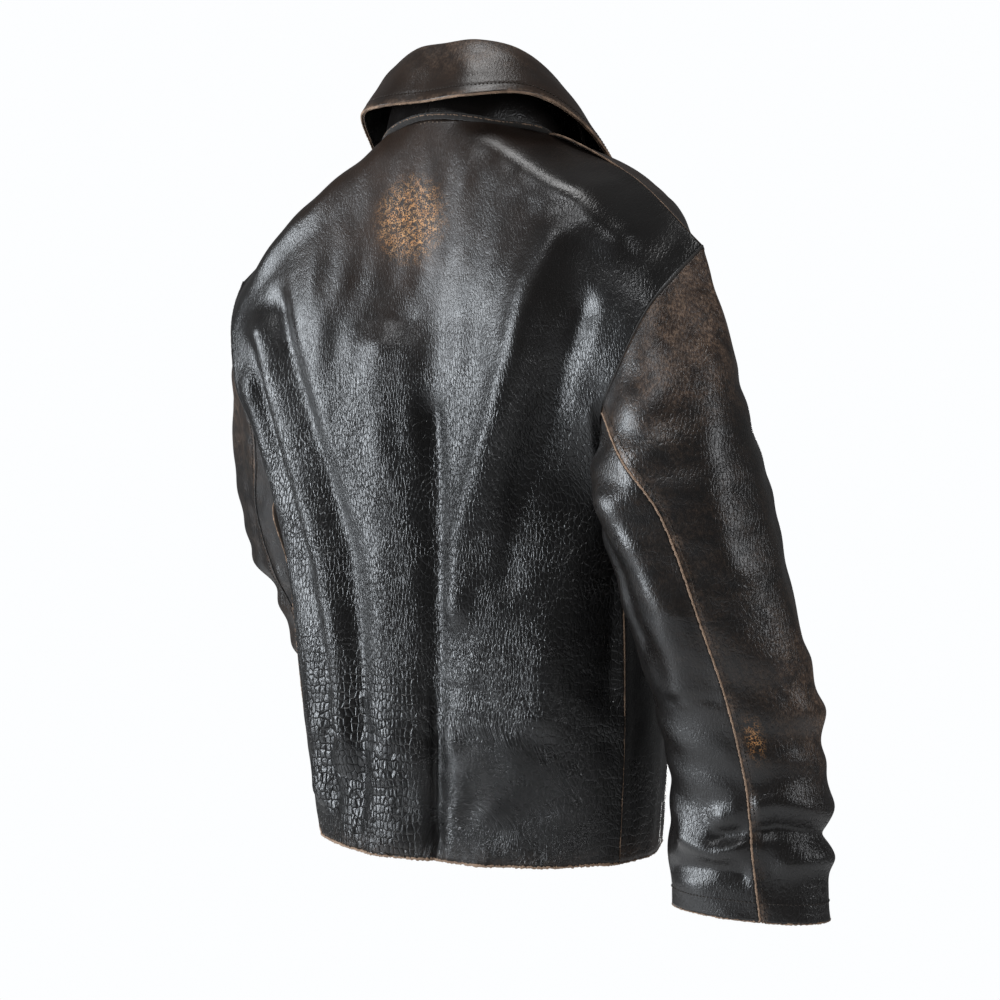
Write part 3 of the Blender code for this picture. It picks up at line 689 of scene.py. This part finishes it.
def front_marks(side):
    def marks(a, z, s, t):
        seed = 51 if side == "left" else 52
        grid = 0.55 * smooth(-0.48, -0.60, z) * (0.6 + 0.4 * ripples(a, z, seed, 0.09, 0.07))
        tint = 0.55 * smooth(-0.14, -0.04, z) + 0.35 * hump(z, -0.64, 0.02)
        worn = 0.55 * hump(a, 0.004, 0.008) + 0.25 * hump(z, -0.635, 0.015)
        worn += 0.35 * hump(a, 0.12, 0.06) * hump(z, -0.42, 0.07)
        lined = 0.5 + 0.35 * ripples(a, z, seed + 2, 0.16, 0.2)
        return {"tint": np.clip(tint, 0, 1), "grid": np.clip(grid, 0, 0.8), "worn": np.clip(worn, 0, 1),
                "lined": np.clip(lined, 0, 1)}
    return marks


def halved(points_of, target, low, high, steps=26):
    """The share between low and high at which a falling quantity reaches its target."""
    for _ in range(steps):
        middle = (low + high) / 2
        if points_of(middle) > target:
            low = middle
        else:
            high = middle
    return (low + high) / 2


def at_front(side, u, v):
    return front_point(side, np.array([float(u)]), np.array([float(v)]))[0]


def inset_u(side, v, inset):
    """The share u at which a front's row lies the given distance from its front edge."""
    edge = at_front(side, 1.0, v)
    return halved(lambda u: np.linalg.norm(at_front(side, u, v) - edge), inset, 0.4, 1.0)


def facing_surface(side):
    shares = np.linspace(0, 1, 25)
    starts = np.array([inset_u(side, v, FACING_WIDTH) for v in shares])

    def surface(s, t):
        v = 0.004 + 0.950 * t
        start = np.interp(v, shares, starts)
        points = front_point(side, start + (0.9975 - start) * s, v)
        return points, np.stack([FACING_WIDTH * (1 - s), points[:, 2]], -1)
    return surface


# ---------------------------------------------------------------- sleeves
def back_seam(t):
    swing = (BACK_SEAM_TOP_DEG - BACK_SEAM_ELBOW_DEG) * (1.0 - t) ** 8
    slow = (BACK_SEAM_ELBOW_DEG - BACK_SEAM_CUFF_DEG) * (1.0 - t)
    return (BACK_SEAM_CUFF_DEG + slow + swing) / 360


def sleeve_surface(side, part):
    def surface(s, t):
        front = FRONT_SEAM_DEG / 360
        if part == "top":
            turn = front - 1.0 + (1.0 - front + back_seam(t)) * s
        else:
            turn = back_seam(t) + (front - back_seam(t)) * s
        points = sleeve_point(side, turn, 0.001 + 0.999 * t)
        return points, np.stack([turn * 0.40, points[:, 2]], -1)
    return surface


SLEEVE_FOLDS = {
    # paths of (girth from the outer side rearwards, z), width, height
    "right": [
        ([(-0.08, -0.575), (0.00, -0.580), (0.06, -0.570), (0.12, -0.590)], 0.010, 0.0050),
        ([(-0.08, -0.596), (0.00, -0.600), (0.06, -0.592), (0.12, -0.604)], 0.007, -0.0050),
        ([(0.07, -0.600), (0.11, -0.615), (0.16, -0.603)], 0.009, 0.0055),
        ([(-0.06, -0.622), (0.02, -0.616), (0.07, -0.622)], 0.009, 0.0045),
        ([(0.07, -0.633), (0.11, -0.628), (0.18, -0.636)], 0.008, -0.0035),
        ([(0.075, -0.492), (0.115, -0.486), (0.15, -0.496)], 0.004, -0.0016),
        ([(0.17, -0.29), (0.13, -0.34), (0.11, -0.42), (0.12, -0.50)], 0.016, 0.0055),
        ([(0.19, -0.31), (0.155, -0.38), (0.145, -0.46)], 0.012, -0.0055),
        ([(0.02, -0.20), (0.05, -0.30), (0.06, -0.40)], 0.018, 0.0035),
        ([(-0.03, -0.22), (-0.01, -0.34), (-0.02, -0.46)], 0.020, -0.0030),
        ([(-0.09, -0.50), (-0.03, -0.53), (0.04, -0.52)], 0.012, -0.0035),
        ([(-0.09, -0.47), (-0.03, -0.50), (0.04, -0.49)], 0.012, 0.0035),
    ],
    "left": [
        ([(0.02, -0.22), (0.04, -0.30), (0.03, -0.40)], 0.016, 0.0050),
        ([(0.07, -0.24), (0.08, -0.34), (0.06, -0.44)], 0.014, -0.0050),
        ([(-0.10, -0.40), (-0.02, -0.43), (0.06, -0.42), (0.14, -0.45)], 0.012, -0.0050),
        ([(-0.10, -0.37), (-0.02, -0.40), (0.06, -0.39), (0.14, -0.42)], 0.012, 0.0045),
        ([(-0.08, -0.47), (0.00, -0.49), (0.08, -0.47)], 0.012, 0.0045),
        ([(-0.08, -0.50), (0.00, -0.52), (0.08, -0.50)], 0.010, -0.0045),
        ([(-0.06, -0.58), (0.04, -0.60), (0.12, -0.59)], 0.010, 0.0040),
    ],
}


def around_arm(girth):
    """Girth counted both ways from a sleeve's outer side, so that it is negative at the front."""
    return np.where(girth > 0.26, girth - SLEEVE_GIRTH, girth)


def sleeve_relief(side):
    def relief(girth, z, s, t):
        around = around_arm(girth)
        height = np.zeros_like(z)
        for path, width, tall in SLEEVE_FOLDS[side]:
            height += ridge(around, z, path, width, tall, 0.02)
        seed = 61 if side == "right" else 62
        phase = girth * 2 * math.pi / SLEEVE_GIRTH
        height += 0.0016 * np.sin(2 * phase + 9 * np.sin(z * 14 + seed)) * np.sin(z * 60 + 2 * np.sin(phase))
        height += 0.0008 * ripples(np.cos(phase) * 0.06, z, seed, 0.05, 0.05)
        quiet = smooth(0.0, 0.06, t) * np.minimum(smooth(0.0, 0.05, s), smooth(1.0, 0.95, s))
        return height * (0.15 + 0.85 * quiet) * smooth(-0.01, 0.03, t)
    return relief


def sleeve_marks(side, part):
    def marks(girth, z, s, t):
        around = around_arm(girth)
        seed = 71 if side == "right" else 72
        cap = hump(around, 0.030, 0.060) * smooth(0.22, 0.05, t)
        arm = hump(around, -0.015, 0.055) * hump(z, -0.485, 0.055)
        scuff = hump(around, 0.070, 0.006) * hump(z, -0.519, 0.012) * (part == "top")
        worn = 0.80 * cap + 0.75 * arm + 0.10 * hump(around, 0.05, 0.08) * hump(z, -0.36, 0.10)
        worn *= 0.85 + 0.4 * ripples(around, z, seed, 0.05, 0.06)
        if part == "top":
            worn += 0.5 * hump(s, 1.0, 0.03)
        tint = 0.06 + 0.6 * np.clip(cap + arm, 0, 1)
        lined = 0.32 + 0.5 * hump(around, -0.02, 0.07)
        grid = 0.65 * hump(around, -0.03, 0.06) * smooth(-0.50, -0.60, z)
        return {"worn": np.clip(worn, 0, 1), "cracked": 0.9 * scuff, "tint": np.clip(tint, 0, 1),
                "lined": np.clip(lined, 0, 1), "grid": np.clip(grid, 0, 0.8),
                "crease": np.stack([around * 0.9 + z * 0.25, z], -1)}
    return marks


# ---------------------------------------------------------------- collar
def stand_surface(side):
    def surface(s, t):
        share = 0.5 + SIDES[side] * 0.5 * s
        points = stand_point(share, 0.002 + 0.975 * t)
        return points, np.stack([s * 0.23, points[:, 2]], -1)
    return surface


def leaf_surface(low, high, margin):
    def surface(s, t):
        points = leaf_point(margin + (1 - 2 * margin) * s, low + (high - low) * t)
        return points, np.stack([(s - 0.5) * COLLAR_LENGTH, COLLAR_DEPTH * t], -1)
    return surface


def no_relief(a, b, s, t):
    return np.zeros_like(a)


def stand_relief(a, b, s, t):
    return 0.0012 * ripples(a, b, 81, 0.05, 0.05) * smooth(0.0, 0.2, t) * smooth(1.0, 0.8, t)


def from_leaf_edge(s, t):
    """Distance from the nearest free edge of the collar leaf."""
    return np.minimum(np.minimum(s, 1 - s) * COLLAR_LENGTH, (1 - t) * COLLAR_DEPTH)


def leaf_relief(a, b, s, t):
    edge = from_leaf_edge(s, t)
    groove = -0.0006 * hump(edge, 0.010, 0.0014)
    wave = 0.0012 * ripples(a, b, 83, 0.09, 0.05) * smooth(0.0, 0.3, t)
    return groove + wave * smooth(0.0, 0.012, edge)


def leaf_marks(a, b, s, t):
    edge = from_leaf_edge(s, t)
    worn = 0.75 * hump(edge, 0.0, 0.0035) + 0.35 * hump(t, 0.0, 0.10)
    worn += 0.35 * hump(a, -0.03, 0.05) * hump(b, 0.02, 0.02)
    return {"tint": 0.55 + 0 * a, "worn": np.clip(worn, 0, 1), "lined": 0.22 + 0 * a}


def plain_marks(a, b, s, t):
    return {"tint": 0.08 + 0 * a, "lined": 0.30 + 0 * a}


# ---------------------------------------------------------------- trim: raw edges, stitches, studs
def curve_frames(points, normals):
    """Tangent, normal and binormal along a path."""
    tangents = np.gradient(points, axis=0)
    tangents /= np.maximum(np.linalg.norm(tangents, axis=1, keepdims=True), 1e-12)
    sideways = np.cross(tangents, normals)
    sideways /= np.maximum(np.linalg.norm(sideways, axis=1, keepdims=True), 1e-12)
    return tangents, np.cross(sideways, tangents), sideways


def resample(points, normals, step):
    """The same path with a point every step."""
    gaps = np.linalg.norm(np.diff(points, axis=0), axis=1)
    run = np.concatenate([[0.0], np.cumsum(gaps)])
    at = np.arange(0.0, run[-1], step)
    new = [np.stack([np.interp(at, run, a[:, k]) for k in range(3)], -1) for a in (points, normals)]
    new[1] /= np.maximum(np.linalg.norm(new[1], axis=1, keepdims=True), 1e-12)
    return new[0], new[1]


def make_edge_cord(name, points, normals, radius, material, seed, rough=0.45, sides=6):
    """A thin uneven roll of cut leather or turned edge along a path."""
    points, normals = resample(points, normals, 0.0012)
    rng = np.random.default_rng(seed)
    _, up, sideways = curve_frames(points, normals)
    count = len(points)
    angles = np.linspace(0, 2 * math.pi, sides, endpoint=False)
    spread = radius * (1 + rough * rng.uniform(-1, 1, (count, sides)))
    ring = points[:, None] + spread[..., None] * (
        np.cos(angles)[None, :, None] * up[:, None] + np.sin(angles)[None, :, None] * sideways[:, None])
    index = np.arange(count * sides).reshape(count, sides)
    after = np.roll(index, -1, axis=1)
    faces = np.stack([index[:-1], after[:-1], after[1:], index[1:]], -1).reshape(-1, 4)
    vertices = np.concatenate([ring.reshape(-1, 3), points[:1], points[-1:]])
    obj = new_mesh(name, vertices, faces, [material])
    bm = bmesh.new()
    bm.from_mesh(obj.data)
    bm.verts.ensure_lookup_table()
    for tip, first in ((count * sides, 0), (count * sides + 1, (count - 1) * sides)):
        for k in range(sides):
            bm.faces.new((bm.verts[tip], bm.verts[first + k], bm.verts[first + (k + 1) % sides]))
    bmesh.ops.recalc_face_normals(bm, faces=bm.faces)
    bm.to_mesh(obj.data)
    bm.free()
    obj.data.polygons.foreach_set("use_smooth", np.full(len(obj.data.polygons), True))
    return obj


def make_stitches(name, points, normals, material, pitch=0.0034, length=0.0024, radius=0.00035, lift=0.0002):
    """A row of stitches: each a short thread that rises out of the leather and dips back in."""
    places, ups = resample(points, normals, pitch)
    tangents, ups, sideways = curve_frames(places, ups)
    sides, stations = 5, 5
    along = np.linspace(-0.5, 0.5, stations)
    arch = lift + radius * 0.8 - (np.abs(along) * 2) ** 3 * (radius * 1.6)
    thick = radius * np.sqrt(np.maximum(1 - (np.abs(along) * 2) ** 4, 0.05))
    angles = np.linspace(0, 2 * math.pi, sides, endpoint=False)
    centre = places[:, None] + (along * length)[None, :, None] * tangents[:, None] \
        + arch[None, :, None] * ups[:, None]
    ring = centre[:, :, None] + thick[None, :, None, None] * (
        np.cos(angles)[None, None, :, None] * ups[:, None, None]
        + np.sin(angles)[None, None, :, None] * sideways[:, None, None])
    index = np.arange(len(places) * stations * sides).reshape(len(places), stations, sides)
    after = np.roll(index, -1, axis=2)
    faces = np.stack([index[:, :-1], after[:, :-1], after[:, 1:], index[:, 1:]], -1).reshape(-1, 4)
    return new_mesh(name, ring.reshape(-1, 3), faces, [material])


def grid_path(grid, normals, fixed, at, low=0.0, high=1.0, inwards=0.0):
    """A path over a sheet's grid: fixed is 's' or 't', and at is its share of the sheet."""
    columns, rows = grid.shape[0] - 1, grid.shape[1] - 1
    if fixed == "s":
        line = int(round(at * columns))
        span = slice(int(low * rows), int(high * rows) + 1)
        points, ups = grid[line, span], normals[line, span]
    else:
        line = int(round(at * rows))
        span = slice(int(low * columns), int(high * columns) + 1)
        points, ups = grid[span, line], normals[span, line]
    return points - ups * inwards, ups


def lathe(name, profile, material, centre, normal, sides=40):
    """Turns the (radius, height) profile about the line through centre along normal."""
    angles = np.linspace(0, 2 * math.pi, sides, endpoint=False)
    rings = np.array([[(r * math.cos(a), r * math.sin(a), h) for a in angles] for r, h in profile])
    index = np.arange(len(profile) * sides).reshape(len(profile), sides)
    after = np.roll(index, -1, axis=1)
    faces = np.stack([index[:-1], after[:-1], after[1:], index[1:]], -1).reshape(-1, 4)
    obj = new_mesh(name, rings.reshape(-1, 3), faces, [material])
    bm = bmesh.new()
    bm.from_mesh(obj.data)
    bmesh.ops.remove_doubles(bm, verts=bm.verts, dist=1e-6)
    bmesh.ops.recalc_face_normals(bm, faces=bm.faces)
    bm.to_mesh(obj.data)
    bm.free()
    obj.data.polygons.foreach_set("use_smooth", np.full(len(obj.data.polygons), True))
    obj.data.set_sharp_from_angle(angle=math.radians(38))
    turn = Vector(normal).to_track_quat("Z", "Y").to_matrix().to_4x4()
    obj.data.transform(Matrix.Translation(Vector(centre)) @ turn)
    return obj


# ---------------------------------------------------------------- how pieces follow the part
def mirrored_place(x, y, z, side):
    return (x * SIDES[side], y, z)


def fold_span(side):
    """Start and end of the bend across a front's fold line, level with its middle."""
    middle = (arr(FOLD_TOP) + arr(FOLD_BOTTOM)) / 2
    line = arr(FOLD_BOTTOM) - arr(FOLD_TOP)
    inwards = arr((-1.0, 0.0, line[0] / line[2]))
    inwards /= np.linalg.norm(inwards)
    start, end = middle - inwards * 0.026, middle + inwards * 0.026
    return mirrored_place(*start, side), mirrored_place(*end, side)


SLEEVE_BEND = {
    # direction in which the bend runs, and the distances along it at which it starts and ends
    "right": ((0.849, 0.0, -0.529), 0.306, 0.425),
    "left": ((0.7035, -0.5025, -0.5025), 0.338, 0.458),
}


def follow(obj, part, side=None):
    """Makes a piece move with the jacket or with a front's flap; for a front or a sleeve it works out where
    the bend starts and ends, but only bakes the piece's transform in.
    """
    if part == "jacket":
        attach(obj, "jacket")
    elif part == "flap":
        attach(obj, "front_" + side)
    elif part == "front":
        start, end = fold_span(side)
        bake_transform(obj)
    else:
        direction, low, high = SLEEVE_BEND[side]
        start, end = (mirrored_place(*(arr(direction) * reach), side) for reach in (low, high))
        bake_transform(obj)


def finish_piece(obj, part, side=None, nodes=()):
    if nodes:
        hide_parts(*nodes)
    follow(obj, part, side)


# ---------------------------------------------------------------- building the jacket
def build_back(skins, trims):
    obj, grid, normals = make_sheet("back_leather", back_surface, 210, 220, back_relief, back_marks,
                                    skins, (0.0, 1.0, -0.3))
    finish_piece(obj, "jacket", nodes=["back_panel"])
    hem, ups = grid_path(grid, normals, "t", 0.0, inwards=0.0007)
    cord = make_edge_cord("back_hem_edge", hem, ups, 0.0013, trims["pale_edge"], 5, 0.5)
    finish_piece(cord, "jacket")
    neck, ups = grid_path(grid, normals, "t", 1.0, 0.24, 0.76, inwards=-0.0002)
    neck[:, 2] -= 0.0035
    stitches = make_stitches("neck_seam_stitches", neck, ups, trims["pale_thread"], 0.0042, 0.0026, 0.0003)
    finish_piece(stitches, "jacket")
    return obj, grid


def build_front(side, skins, trims):
    obj, grid, normals = make_sheet(
        "front_leather_" + side, front_surface(side), 150, 190, front_relief(side), front_marks(side),
        skins, (SIDES[side] * 0.6, -0.8, -0.3))
    finish_piece(obj, "front", side, [f"front_side_{side}", f"front_flap_{side}"])
    for name, fixed, at in (("hem", "t", 0.0), ("front", "s", 1.0), ("side_seam", "s", 0.0)):
        path, ups = grid_path(grid, normals, fixed, at, inwards=0.0007)
        radius = 0.0007 if name == "side_seam" else 0.0010
        cord = make_edge_cord(f"front_{name}_edge_{side}", path, ups, radius, trims["raw"], 11)
        finish_piece(cord, "front", side)
    for number, share in enumerate((1.0 - 0.004 / FRONT_WIDTH, 1.0 - 0.036 / FRONT_WIDTH)):
        path, ups = grid_path(grid, normals, "s", share, 0.01, 0.97)
        row = make_stitches(f"front_stitches_{side}_{number + 1}", path, ups, trims["dark_thread"])
        finish_piece(row, "front", side)
    facing, facing_grid, _ = make_sheet(
        "facing_leather_" + side, facing_surface(side), 16, 150, no_relief, plain_marks,
        [skins[1], skins[0], trims["raw"]], (0.0, -1.0, -0.3), depth=LEATHER + 0.0006)
    finish_piece(facing, "front", side, [f"front_facing_{side}"])
    return (obj, grid), (facing, facing_grid)


def build_sleeve(side, skins, trims):
    built = []
    for part, columns, outside in (("top", 120, 1.0), ("under", 100, 0.0)):
        place = (SIDES[side] * outside, -0.1, -0.45)
        obj, grid, normals = make_sheet(
            f"sleeve_{part}_leather_{side}", sleeve_surface(side, part), columns, 170,
            sleeve_relief(side), sleeve_marks(side, part), skins, place)
        finish_piece(obj, "sleeve", side, [f"sleeve_{part}_{side}"])
        cuff, ups = grid_path(grid, normals, "t", 1.0, inwards=0.0007)
        cord = make_edge_cord(f"cuff_edge_{part}_{side}", cuff, ups, 0.0009, trims["raw"], 17)
        finish_piece(cord, "sleeve", side)
        row, ups = grid_path(grid, normals, "t", 0.955)
        row = make_stitches(f"cuff_stitches_{part}_{side}", row, ups, trims["dark_thread"])
        finish_piece(row, "sleeve", side)
        if part == "top":
            seam, ups = grid_path(grid, normals, "s", 1.0, inwards=0.0001)
            seam_colour = trims["pale_edge"] if side == "right" else trims["welt"]
            cord = make_edge_cord(f"sleeve_seam_edge_{side}", seam, ups, 0.0009, seam_colour, 19)
            finish_piece(cord, "sleeve", side)
            row, ups = grid_path(grid, normals, "s", 0.975)
            row = make_stitches(f"sleeve_seam_stitches_{side}", row, ups, trims["dark_thread"])
            finish_piece(row, "sleeve", side)
        built.append((obj, grid))
    return built


def build_armhole(side, trims):
    """The turned seam where a sleeve is set into the body."""
    turn = np.linspace(0.0, 1.0, 200, endpoint=False)
    path = armhole_point(side, turn)
    centre = path.mean(axis=0)
    ups = path - centre
    ups /= np.linalg.norm(ups, axis=1, keepdims=True)
    path = path - ups * 0.0008
    cord = make_edge_cord(f"armhole_seam_{side}", path, ups, 0.0013, trims["welt"], 23, 0.12, 8)
    finish_piece(cord, "jacket")


def build_collar(skins, trims):
    built = []
    for side in SIDES:
        place = (SIDES[side] * 0.2, 1.0, 0.0)
        obj, grid, normals = make_sheet("stand_leather_" + side, stand_surface(side), 100, 30,
                                        stand_relief, plain_marks, skins, place)
        finish_piece(obj, "jacket", nodes=["collar_stand_" + side])
        built.append((obj, grid))
    above = (0.0, 1.0, 0.5)
    top, grid, normals = make_sheet("collar_leather", leaf_surface(0.0, 1.0, 0.002), 260, 46,
                                    leaf_relief, leaf_marks, skins, above)
    finish_piece(top, "jacket", nodes=["collar_leaf_top"])
    built.append((top, grid))
    paths = [("edge", "t", 1.0), ("end_left", "s", 1.0), ("end_right", "s", 0.0)]
    for name, fixed, at in paths:
        path, ups = grid_path(grid, normals, fixed, at, inwards=0.0014)
        cord = make_edge_cord("collar_" + name, path, ups, 0.0009, trims["raw"], 29, 0.3)
        finish_piece(cord, "jacket")
    inset = COLLAR_STITCH_INSET
    row, ups = grid_path(grid, normals, "t", 1.0 - inset / COLLAR_DEPTH, 0.03, 0.97)
    finish_piece(make_stitches("collar_stitches", row, ups, trims["dark_thread"]), "jacket")
    for name, share in (("left", 1.0 - inset / COLLAR_LENGTH), ("right", inset / COLLAR_LENGTH)):
        row, ups = grid_path(grid, normals, "s", share, 0.05, 0.84)
        row = make_stitches("collar_end_stitches_" + name, row, ups, trims["dark_thread"])
        finish_piece(row, "jacket")
    under, grid, normals = make_sheet("collar_under_leather", leaf_surface(0.12, 0.99, 0.004), 220, 30,
                                      no_relief, plain_marks, [skins[1], skins[0], skins[2]], above,
                                      depth=LEATHER + 0.0004)
    finish_piece(under, "jacket", nodes=["collar_leaf_under"])
    built.append((under, grid))
    return built


def build_neck_seam(trims):
    """The turned edge where the back and the fronts meet the collar stand."""
    share = np.linspace(0.0, 1.0, 240)
    path = stand_point(share, np.full_like(share, 0.010))
    outwards = path * (1.0, 1.0, 0.0) - path.mean(axis=0) * (1.0, 1.0, 0.0)
    outwards /= np.linalg.norm(outwards, axis=1, keepdims=True)
    cord = make_edge_cord("neck_seam_roll", path - outwards * 0.0012, outwards, 0.0030,
                          trims["welt"], 31, 0.10, 10)
    finish_piece(cord, "jacket")
    ridge_line = path + outwards * 0.0012 + arr((0.0, 0.0, 0.0004))
    cord = make_edge_cord("neck_seam_edge", ridge_line, outwards, 0.0006, trims["raw"], 37)
    finish_piece(cord, "jacket")


def build_hanging_loop(skins):
    half_span, width, drop = 0.030, 0.008, 0.022

    def surface(s, t):
        across = (2 * s - 1) * half_span
        seat = stand_point(0.5 + across / 0.42, np.full_like(s, 0.52))
        low = drop * (1 - (2 * s - 1) ** 2)
        forward = 0.0055 + 0.006 * np.sin(math.pi * s)
        shift = np.stack([np.zeros_like(s), -forward, -low + width * (t - 0.5)], -1)
        return seat + shift, np.stack([across, width * t], -1)

    # an 8 mm strip is narrower than the narrowest sheet that can be declared
    loop = make_sheet("hanging_loop_leather", surface, 48, 8, no_relief, plain_marks,
                      skins, (0.0, -1.0, 0.03))[0]
    finish_piece(loop, "jacket", nodes=["hanging_loop"])


def snap_seat(side, v):
    u = inset_u(side, v, SNAP_INSET)
    along = at_front(side, u + 0.01, v) - at_front(side, u - 0.01, v)
    upwards = at_front(side, u, v + 0.01) - at_front(side, u, v - 0.01)
    normal = np.cross(along, upwards)
    normal /= np.linalg.norm(normal)
    return at_front(side, u, v), normal if normal[1] < 0 else -normal


def build_snaps(metal):
    lift, through = 0.0003, 2 * LEATHER + 0.0009
    cap = [(0.0, 0.0034), (0.0024, 0.0033), (0.0048, 0.0028), (0.0064, 0.0020), (0.0074, 0.0011),
           (0.0077, 0.0005), (0.0075, 0.0), (0.0, 0.0)]
    socket = [(0.0018, 0.0), (0.0062, 0.0), (0.0066, -0.0006), (0.0064, -0.0016), (0.0050, -0.0024),
              (0.0040, -0.0024), (0.0036, -0.0012), (0.0018, -0.0012), (0.0018, 0.0)]
    stud = [(0.0, 0.0034), (0.0016, 0.0033), (0.0026, 0.0026), (0.0027, 0.0020), (0.0020, 0.0012),
            (0.0030, 0.0009), (0.0056, 0.0010), (0.0064, 0.0006), (0.0064, 0.0), (0.0, 0.0)]
    backing = [(0.0018, 0.0), (0.0062, 0.0), (0.0064, -0.0005), (0.0058, -0.0013), (0.0026, -0.0013),
               (0.0018, -0.0006), (0.0018, 0.0)]
    for number, v in enumerate(SNAP_ROWS, 1):
        for side, outer, inner, fore, aft in (("left", "cap", "socket", cap, socket),
                                              ("right", "stud", "backing", stud, backing)):
            centre, normal = snap_seat(side, v)
            front = lathe(f"{outer}_metal_{number}", fore, metal, centre + normal * lift, normal)
            finish_piece(front, "flap", side, [f"snap_{outer}_{number}"])
            rear = lathe(f"{inner}_metal_{number}", aft, metal, centre - normal * (through + lift), normal)
            finish_piece(rear, "flap", side, [f"snap_{inner}_{number}"])


# ---------------------------------------------------------------- studio
STUDIO_LIGHTS = [
    # name, place, width, height, watts, colour
    ("side_left", (2.1, 1.5, -0.35), 0.7, 1.6, 76.0, (0.88, 0.94, 1.0)),
    ("key", (0.3, 2.5, 1.7), 0.7, 0.7, 22.0, (0.95, 0.97, 1.0)),
    ("side_right", (-2.4, 0.3, 0.3), 0.4, 1.8, 20.0, (0.95, 0.97, 1.0)),
    ("above", (0.0, 0.3, 2.2), 0.9, 0.9, 22.0, (1.0, 1.0, 1.0)),
    ("front_fill", (1.1, -2.4, -0.6), 1.1, 1.1, 36.0, (1.0, 0.99, 0.98)),
]


def build_studio():
    bpy.ops.mesh.primitive_circle_add(vertices=160, radius=FLOOR_RADIUS, fill_type="NGON",
                                      location=(0.0, -0.1, FLOOR_HEIGHT))
    floor = bpy.context.object
    floor.name = "floor"
    n = Nodes("pale_floor")
    where = n.tree.nodes.new("ShaderNodeTexCoord").outputs["Object"]
    tone = n.noise(where, 1.3, 3.0)
    n.set(Base_Color=mix_colours(n, tone, (0.84, 0.84, 0.845, 1.0), (0.88, 0.88, 0.88, 1.0)), Roughness=0.8)
    floor.data.materials.append(n.material)
    world = bpy.data.worlds.new("studio")
    bpy.context.scene.world = world
    world.use_nodes = True
    background = world.node_tree.nodes["Background"]
    background.inputs["Color"].default_value = (0.98, 0.99, 1.0, 1.0)
    seen = world.node_tree.nodes.new("ShaderNodeLightPath")
    strength = world.node_tree.nodes.new("ShaderNodeMath")
    strength.operation = "MULTIPLY_ADD"
    strength.inputs[1].default_value = 0.88
    strength.inputs[2].default_value = 0.12
    world.node_tree.links.new(seen.outputs["Is Camera Ray"], strength.inputs[0])
    world.node_tree.links.new(strength.outputs[0], background.inputs["Strength"])
    bpy.context.scene.view_settings.view_transform = "Standard"
    target = Vector((0.0, -0.08, -0.32))
    for name, place, width, height, watts, colour in STUDIO_LIGHTS:
        light = bpy.data.lights.new(name, "AREA")
        light.shape = "RECTANGLE"
        light.size, light.size_y = width, height
        light.energy = watts
        light.color = colour
        lamp = bpy.data.objects.new(name, light)
        bpy.context.scene.collection.objects.link(lamp)
        lamp.location = place
        lamp.rotation_euler = (target - Vector(place)).to_track_quat("-Z", "Y").to_euler()


def build_camera():
    yaw, distance = math.radians(31.5), 1.7
    camera = bpy.data.cameras.new("camera")
    camera.lens = 66.7
    rig = bpy.data.objects.new("camera", camera)
    bpy.context.scene.collection.objects.link(rig)
    rig.location = (-distance * math.sin(yaw), distance * math.cos(yaw) - 0.122, -0.330)
    ahead = Vector((math.sin(yaw), -math.cos(yaw), 0.0))
    rig.rotation_euler = ahead.to_track_quat("-Z", "Y").to_euler()
    bpy.context.scene.camera = rig


def main():
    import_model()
    skins = [outer_leather(), flesh_side(), raw_edge()]
    trims = {
        "raw": skins[2],
        "pale_edge": raw_edge("leather_pale_edge", 0.22),
        "dark_thread": thread("thread_dark", (0.010, 0.009, 0.008, 1.0), (0.060, 0.045, 0.034, 1.0)),
        "pale_thread": thread("thread_pale", (0.20, 0.13, 0.08, 1.0), (0.50, 0.40, 0.30, 1.0)),
        "welt": flesh_side("seam_dark", 0.14),
    }
    back, back_grid = build_back(skins, trims)
    for side in SIDES:
        for obj, grid in build_front(side, skins, trims):
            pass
        for obj, grid in build_sleeve(side, skins, trims):
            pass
        build_armhole(side, trims)
    for obj, grid in build_collar(skins, trims):
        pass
    build_neck_seam(trims)
    build_hanging_loop(skins)
    build_snaps(snap_metal())
    build_studio()
    build_camera()


main()
